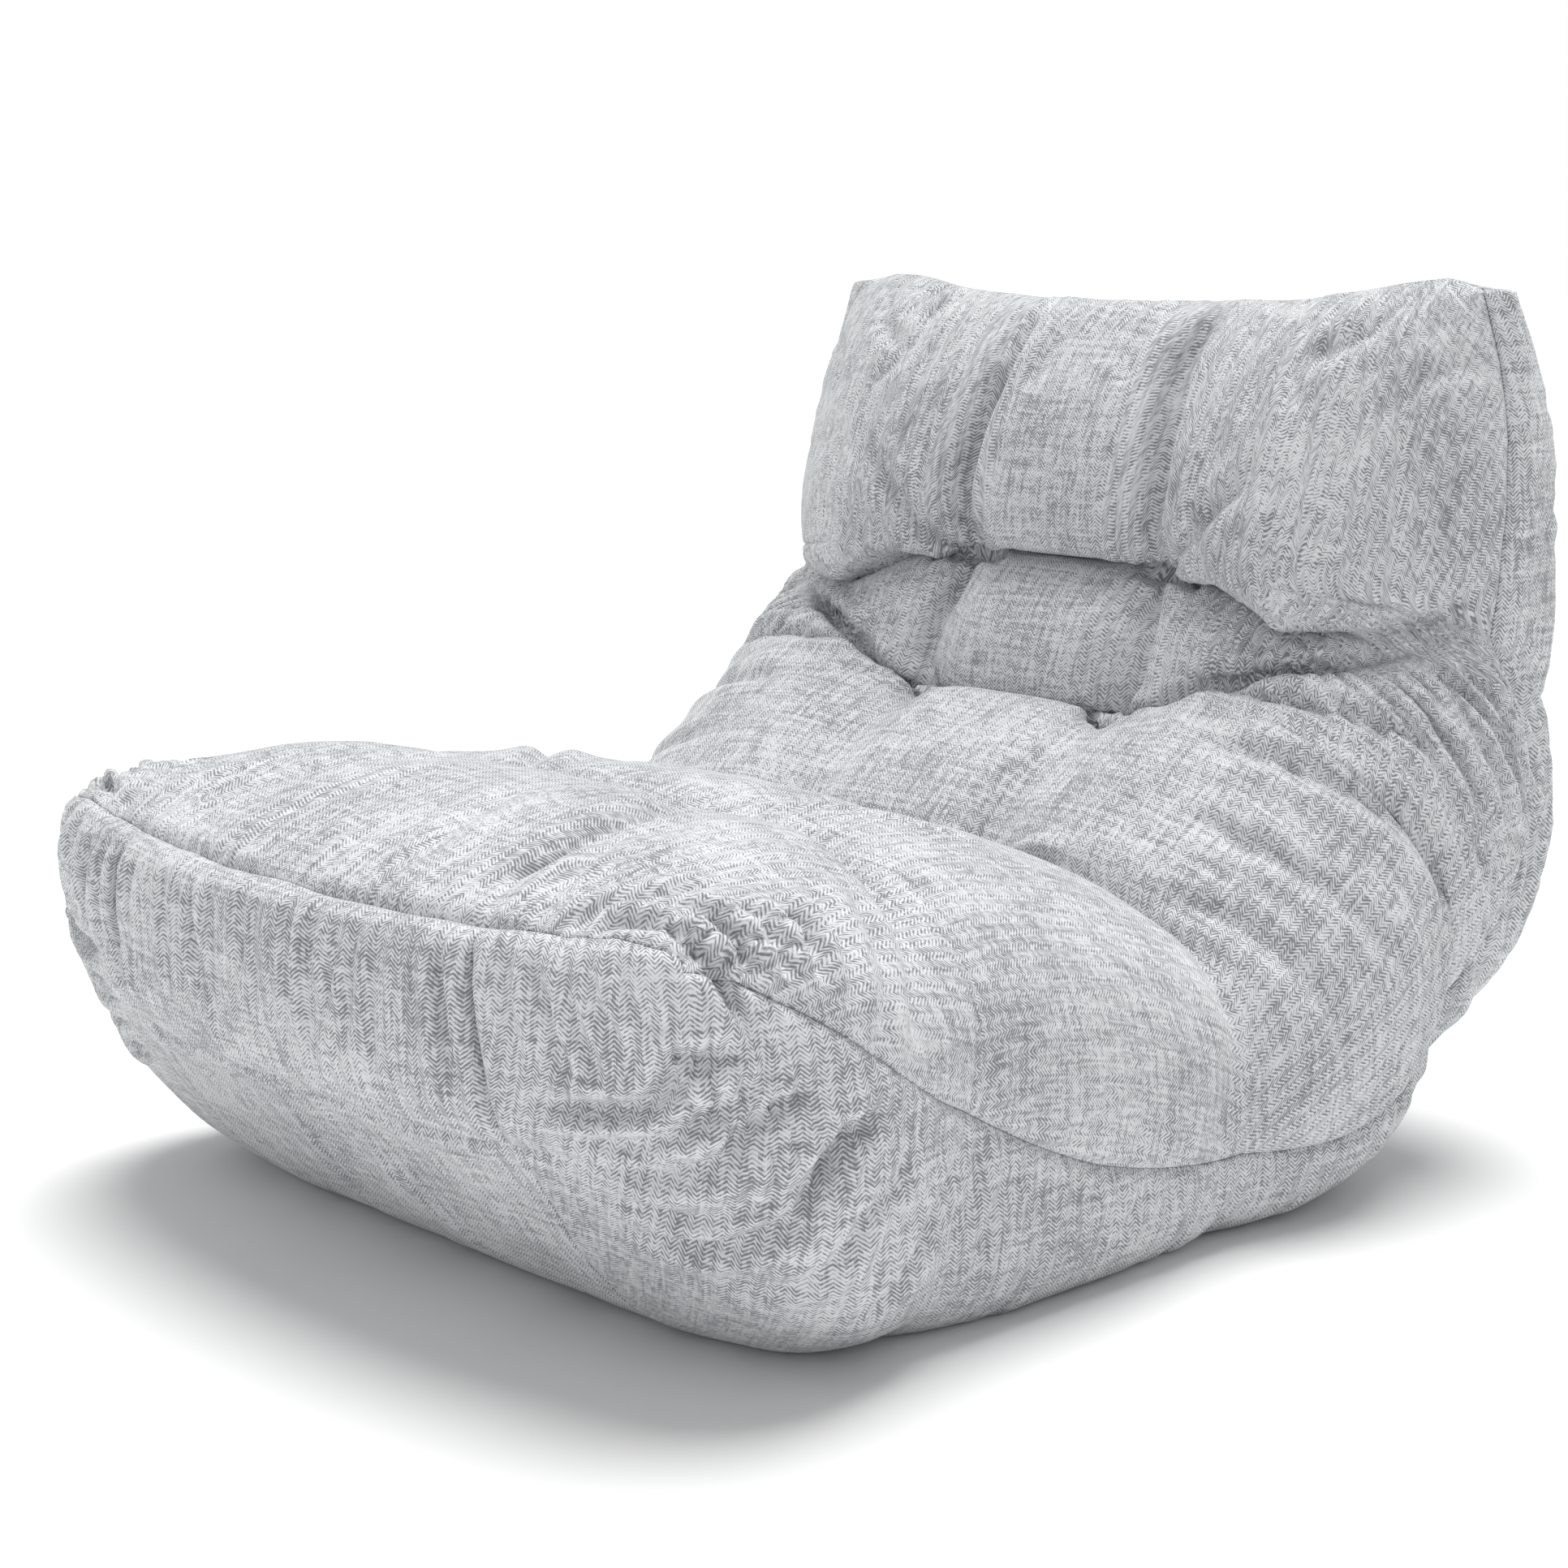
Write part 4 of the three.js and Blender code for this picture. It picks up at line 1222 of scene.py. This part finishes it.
def liner_columns():
    """The top and the hull columns that each liner's rings run along."""
    first, right, left, last = COLUMN_LINES
    right_aisle, left_aisle = HULL_MIDDLE - AISLE, HULL_MIDDLE + AISLE
    reach = left + SIDE_LINER_TOP
    return {
        "centre": (between(right, left, 3, 16), between(right_aisle, left_aisle, 2, 16)),
        "left": (between(left, reach, 3, 20), between(left_aisle, last - SIDE_LINER_HULL, 2, 20)),
        "right": (between(last - reach, right, 3, 20), between(first + SIDE_LINER_HULL, right_aisle, 2, 20)),
    }


def make_liners(cloth, beads):
    """Three long bags, each of two skins and filled with beads."""
    points = under(*LINER_FACE)
    rows = between(*np.searchsorted(cover.rows, LINER_ROWS), 0, 46)
    for side, (top_columns, hull_columns) in liner_columns().items():
        over, below = cover.top[np.ix_(rows, top_columns)], cover.hull[np.ix_(rows, hull_columns[::-1])]
        rings = points[np.concatenate([over, below], 1)]
        bag = solid(f"liner_{side}_bag", *rounded_tube(rings, 0.0), cloth, "liner")
        lining = solid(f"liner_{side}_lining", *rounded_tube(rings, LINER_CLOTH), cloth, "liner")
        lining.data.flip_normals()
        join(bag, lining)
        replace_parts(bag, f"liner_{side}")
        fill = solid(f"bead_fill_{side}_beads", *rounded_tube(rings, BEAD_GAP), beads, "beads")
        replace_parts(fill, f"bead_fill_{side}")


def join(first, second):
    """Adds the second object's mesh to the first's."""
    bm = bmesh.new()
    bm.from_mesh(first.data)
    bm.from_mesh(second.data)
    bm.to_mesh(first.data)
    bm.free()
    bpy.data.objects.remove(second)


def sweep(path, sides, ups, outline):
    """A closed tube: the section's (side, up) points carried along the path."""
    outline = np.asarray(outline)
    sides, ups = np.expand_dims(sides, -2), np.expand_dims(ups, -2)
    return tube(path[:, None] + sides * outline[..., :1] + ups * outline[..., 1:])


def rounded_rectangle(width, height, radius):
    """Four points round each corner, as (side, up)."""
    out = []
    for k, (sx, sy) in enumerate(((1, 1), (-1, 1), (-1, -1), (1, -1))):
        x, y = sx * (width / 2 - radius), sy * (height / 2 - radius)
        for a in np.linspace(0, math.pi / 2, 4) + k * math.pi / 2:
            out.append((x + radius * math.cos(a), y + radius * math.sin(a)))
    return out


STRAP = (0.016, 0.0018, 0.0008)  # width, thickness and corner radius


def make_straps(material):
    """Webbing ties from each tuft down to the base, a little wavy because they aren't taut."""
    ends = under(0.0, 0.005)
    share = np.linspace(0, 1, 25)[:, None]
    for row, line in enumerate(ROW_LINES[1:-1], 1):
        for side, column, aisle in (("right", COLUMN_LINES[1], -AISLE), ("left", COLUMN_LINES[2], AISLE)):
            top, hull = cover.top[line, column], cover.hull[line, HULL_MIDDLE + aisle]
            start, end = ends[top], ends[hull] - body_normal[hull] * 0.003
            path = mix(start, end, share)
            path[:, 0] += 0.003 * np.sin(math.pi * 2 * share[:, 0])
            run = unit(end - start)
            across = unit(np.cross(run, (1.0, 0.0, 0.0)))
            strap = sweep(path, across, np.cross(across, run), rounded_rectangle(*STRAP))
            name = f"tuft_strap_row{row}_{side}"
            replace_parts(solid(name + "_webbing", *strap, material, "webbing"), name)


# Each plain cloth: its light and dark colours, thread spacing, bump, roughness and sheen.
CLOTHS = {
    "fibre_wadding": ((0.90, 0.89, 0.86, 1), (0.74, 0.73, 0.70, 1), 0.003, 0.0010, 1.0, 0.3),
    "scrim": ((0.80, 0.80, 0.77, 1), (0.60, 0.60, 0.57, 1), 0.0016, 0.0003, 0.8, 0.1),
    "webbing": ((0.62, 0.61, 0.58, 1), (0.36, 0.355, 0.34, 1), 0.0018, 0.0005, 0.9, 0.2),
    "liner_cloth": ((0.84, 0.84, 0.82, 1), (0.68, 0.68, 0.66, 1), 0.0012, 0.0002, 0.8, 0.1),
    "zip_tape": ((0.42, 0.43, 0.44, 1), (0.25, 0.255, 0.26, 1), 0.0010, 0.0002, 0.8, 0.15),
    "nylon_coil": ((0.40, 0.41, 0.42, 1), (0.30, 0.305, 0.31, 1), 0.0030, 0.0001, 0.4, 0.0),
}


def cloth_material(name):
    """A small plain weave over soft noise, placed by the object's own coordinates."""
    light, dark, scale, bump, roughness, sheen = CLOTHS[name]
    m = Nodes(name)
    place = m.add("ShaderNodeTexCoord").outputs["Object"]
    parts = m.add("ShaderNodeSeparateXYZ", {0: place})
    x, y, z = (m.math("SINE", m.math("MULTIPLY", part, 2 * math.pi / scale)) for part in parts.outputs)
    weave = m.math("MULTIPLY", x, m.math("MAXIMUM", y, z))
    cloud = m.noise(place, 0.12 / scale, 4.0, 0.65)
    share = m.ramp(m.math("MULTIPLY_ADD", weave, 0.25, cloud), 0.25, 0.85)
    m.set(
        {
            "Base Color": m.mix_colour(share, light, dark),
            "Normal": m.bump(m.math("ADD", weave, cloud), 0.5, bump),
            "Roughness": m.ramp(cloud, -roughness, 1.2),
            "Sheen Weight": sheen,
        }
    )
    return m.material


def bead_material():
    m = Nodes("polystyrene_beads")
    place = m.add("ShaderNodeTexCoord").outputs["Object"]
    cells = m.add("ShaderNodeTexVoronoi", {"Vector": place, "Scale": 260.0})
    # Light at each cell's middle and darker towards its edge: painted shade in the gaps between the beads,
    # which are white all over. The bump below domes each bead.
    share = m.ramp(cells.outputs["Distance"], 0.1, 0.75)
    m.set(
        {
            "Base Color": m.mix_colour(share, (0.94, 0.94, 0.94, 1), (0.70, 0.70, 0.71, 1)),
            "Normal": m.bump(m.math("MULTIPLY", share, -1.0), 0.8, 0.0015),
            "Roughness": m.ramp(share, -1.5, 2.0),
        }
    )
    return m.material


make_pads(cloth_material("fibre_wadding"))
make_backing(cloth_material("scrim"))
make_straps(cloth_material("webbing"))
make_liners(cloth_material("liner_cloth"), bead_material())

# ---- the zip: two tapes, two nylon coils, two stops and a slider with no pull tab ----

ZIP_HALF = 0.245
ZIP_DEPTH = 0.0037  # from the cover's surface to the middle of the coils
TAPE = {"from": 0.0026, "to": 0.0176, "depth": 0.0032, "thickness": 0.0008, "overrun": 0.017}
COIL = {"out": 0.0014, "reach": 0.00060, "rise": 0.00125, "wire": 0.00028, "pitch": 0.0021}


def zip_frame():
    """The middle of the zip, the way across it towards the back panel, and the way out."""
    low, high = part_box("zip_slider")
    line = 2 * ZIP_LINE - 1
    base, back = cover.body[cover.hull[line - 1, HULL_MIDDLE]], cover.body[cover.hull[line + 1, HULL_MIDDLE]]
    across = back - base
    across[0] = 0
    across = unit(across)
    out = np.array([0.0, across[2], -across[1]])
    middle = np.array([0.0, (low.y + high.y) / 2, (low.z + high.z) / 2])
    return middle + out * ZIP_DEPTH, across, out


def zip_point(x, side, depth):
    """A point of the zip: along it, across it towards the back panel, and beneath the cover."""
    x, side, depth = np.broadcast_arrays(*(np.asarray(value, float) for value in (x, side, depth)))
    along = zip_middle + x[..., None] * (1.0, 0.0, 0.0)
    return along + side[..., None] * zip_across - depth[..., None] * zip_out


zip_middle, zip_across, zip_out = zip_frame()


def make_tape(name, way, material):
    x = np.linspace(-ZIP_HALF - TAPE["overrun"], ZIP_HALF + TAPE["overrun"], 160)
    width = TAPE["to"] - TAPE["from"]
    middle = way * (TAPE["from"] + TAPE["to"]) / 2
    path = zip_point(x, middle, TAPE["depth"] + 0.00004 * np.sin(x * 90))
    tape = sweep(path, zip_across, zip_out, rounded_rectangle(width, TAPE["thickness"], 0.0003))
    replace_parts(solid(name + "_woven", *tape, material, "zip_tape"), name)


def make_coil(name, way, material):
    """One row of teeth: a nylon coil, half a turn on from the other one."""
    pitch, wire = COIL["pitch"], COIL["wire"]
    per_turn = 10
    turns = 2 * ZIP_HALF / pitch - 3
    t = np.arange(0, turns * per_turn) / per_turn * 2 * math.pi
    x = -ZIP_HALF + 0.003 + pitch * t / (2 * math.pi) + (0.5 * pitch if way > 0 else 0)
    side = way * (COIL["out"] + COIL["reach"] * np.cos(t))
    path = zip_point(x, side, ZIP_DEPTH + COIL["rise"] * np.sin(t))
    run = unit(np.gradient(path, axis=0))
    side = unit(np.cross(run, (1.0, 0.0, 0.0)))
    ring = [(wire * math.cos(a), wire * math.sin(a)) for a in np.linspace(0, 2 * math.pi, 6)[:-1]]
    coil = sweep(path, side, np.cross(side, run), ring)
    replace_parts(solid(name + "_coil", *coil, material, "zip_teeth"), name)


def zip_block(x, depth, length, width, height, radius):
    """A block along the zip, on its middle line, with rounded edges and ends that draw in."""
    share = np.linspace(-1, 1, 9)
    outlines = []
    for s in share:
        full = math.sqrt(max(1 - max(abs(s) - 0.6, 0) ** 2 / 0.17, 0.02))
        outlines.append(rounded_rectangle(width * (0.75 + 0.25 * full), height * (0.8 + 0.2 * full), radius))
    return sweep(zip_point(x + share * length / 2, 0, depth), zip_across, zip_out, outlines)


def gathered(parts):
    """Several closed forms as one list of points and faces."""
    points, faces, count = [], [], 0
    for part_points, part_faces in parts:
        points.append(part_points)
        faces.append(part_faces + count)
        count += len(part_points)
    return np.concatenate(points), np.concatenate(faces)


def make_slider(material):
    """Two plates, the post that joins them, and the bridge where a pull tab would hang."""
    low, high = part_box("zip_slider")
    x = (low.x + high.x) / 2
    length, width = high.x - low.x, 0.0095
    plates = [zip_block(x, ZIP_DEPTH + away, length, width, 0.0010, 0.0004) for away in (-0.0015, 0.0015)]
    plates.append(zip_block(x - 0.004, ZIP_DEPTH, 0.004, 0.0014, 0.0024, 0.0004))
    turn = np.linspace(0.15, math.pi - 0.15, 17)
    path = zip_point(x + 0.0048 * np.cos(turn), 0, 0.0020 - 0.0026 * np.sin(turn))
    up = np.cross(unit(np.gradient(path, axis=0)), zip_across)
    bridge = sweep(path, zip_across, up, rounded_rectangle(0.0022, 0.0007, 0.00028))
    obj = solid("zip_slider_and_bridge", *gathered(plates + [bridge]), material, "zip_metal", "slider")
    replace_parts(obj, "zip_slider")


def metal_material():
    m = Nodes("painted_zinc")
    place = m.add("ShaderNodeTexCoord").outputs["Object"]
    grain = m.noise(place, 900.0, 3.0, 0.6)
    wear = m.noise(place, 160.0, 3.0, 0.6)
    shade = m.mix_colour(m.ramp(wear, 0.35, 0.75), (0.30, 0.31, 0.32, 1), (0.48, 0.49, 0.50, 1))
    relief = m.bump(grain, 0.2, 0.0001)
    m.set({"Base Color": shade, "Normal": relief, "Roughness": m.ramp(grain, -0.6, 2.2), "Metallic": 0.7})
    return m.material


def make_zip():
    tape, nylon, metal = cloth_material("zip_tape"), cloth_material("nylon_coil"), metal_material()
    for name, way in (("back", 1), ("base", -1)):
        make_tape(f"zip_tape_{name}", way, tape)
        make_coil(f"zip_teeth_{name}", way, nylon)
    make_slider(metal)
    for name in ("left", "right"):
        low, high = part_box(f"zip_stop_{name}")
        clamp = zip_block((low.x + high.x) / 2, ZIP_DEPTH, high.x - low.x, 0.0048, 0.0034, 0.0008)
        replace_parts(solid(f"zip_stop_{name}_clamp", *clamp, metal, "zip_metal"), f"zip_stop_{name}")


make_zip()

# ---- the studio ----

CAMERA_AIM = (0.165, -0.1845, 0.424)
CAMERA_AZIMUTH = math.radians(45.9)
CAMERA_ELEVATION = math.radians(10.8)
CAMERA_DISTANCE = 2.54
CAMERA_LENS = 65  # millimetres
# Each light: its name, strength, angle in degrees, and the way towards it.
LIGHTS = [
    ("key", 3.25, 42, (-0.12, 0.22, 1.0)),
    ("rake", 0.10, 12, (-0.80, -0.45, 0.40)),
    ("fill", 0.22, 60, (0.16, -0.97, 0.04)),
]
FLOOR_COLOUR = (0.93, 0.93, 0.93, 1)
WORLD_LIGHT = 0.41  # what the background gives the chair, where the camera sees it at 1


def placed(name, data, turn):
    obj = bpy.data.objects.new(name, data)
    obj.rotation_mode = "QUATERNION"
    obj.rotation_quaternion = turn
    bpy.context.scene.collection.objects.link(obj)
    return obj


def make_camera():
    data = bpy.data.cameras.new("camera")
    data.lens = CAMERA_LENS
    a, e = CAMERA_AZIMUTH, CAMERA_ELEVATION
    back = Vector((math.sin(a) * math.cos(e), -math.cos(a) * math.cos(e), math.sin(e)))
    camera = placed("camera", data, (-back).to_track_quat("-Z", "Y"))
    camera.location = Vector(CAMERA_AIM) + back * CAMERA_DISTANCE
    bpy.context.scene.camera = camera


def make_light(name, strength, angle, direction):
    data = bpy.data.lights.new(name, "SUN")
    data.energy = strength
    data.angle = math.radians(angle)
    placed(name, data, Vector(direction).to_track_quat("Z", "Y"))


def make_studio():
    bm = bmesh.new()
    bmesh.ops.create_grid(bm, x_segments=4, y_segments=4, size=40)
    mesh = bpy.data.meshes.new("floor")
    bm.to_mesh(mesh)
    floor = bpy.data.objects.new("floor", mesh)
    m = Nodes("floor")
    m.set({"Base Color": FLOOR_COLOUR, "Roughness": 0.9, "Specular IOR Level": 0.0})
    mesh.materials.append(m.material)
    bpy.context.scene.collection.objects.link(floor)
    world = bpy.data.worlds.new("studio")
    bpy.context.scene.world = world
    world.use_nodes = True
    tree = world.node_tree
    ray = tree.nodes.new("ShaderNodeLightPath")
    strength = tree.nodes.new("ShaderNodeMapRange")
    strength.inputs["To Min"].default_value = WORLD_LIGHT
    strength.inputs["To Max"].default_value = 1.0
    tree.links.new(ray.outputs["Is Camera Ray"], strength.inputs["Value"])
    background = tree.nodes["Background"]
    background.inputs["Color"].default_value = (1, 1, 1, 1)
    tree.links.new(strength.outputs[0], background.inputs["Strength"])
    for light in LIGHTS:
        make_light(*light)
    bpy.context.scene.view_settings.view_transform = "Standard"


make_camera()
make_studio()
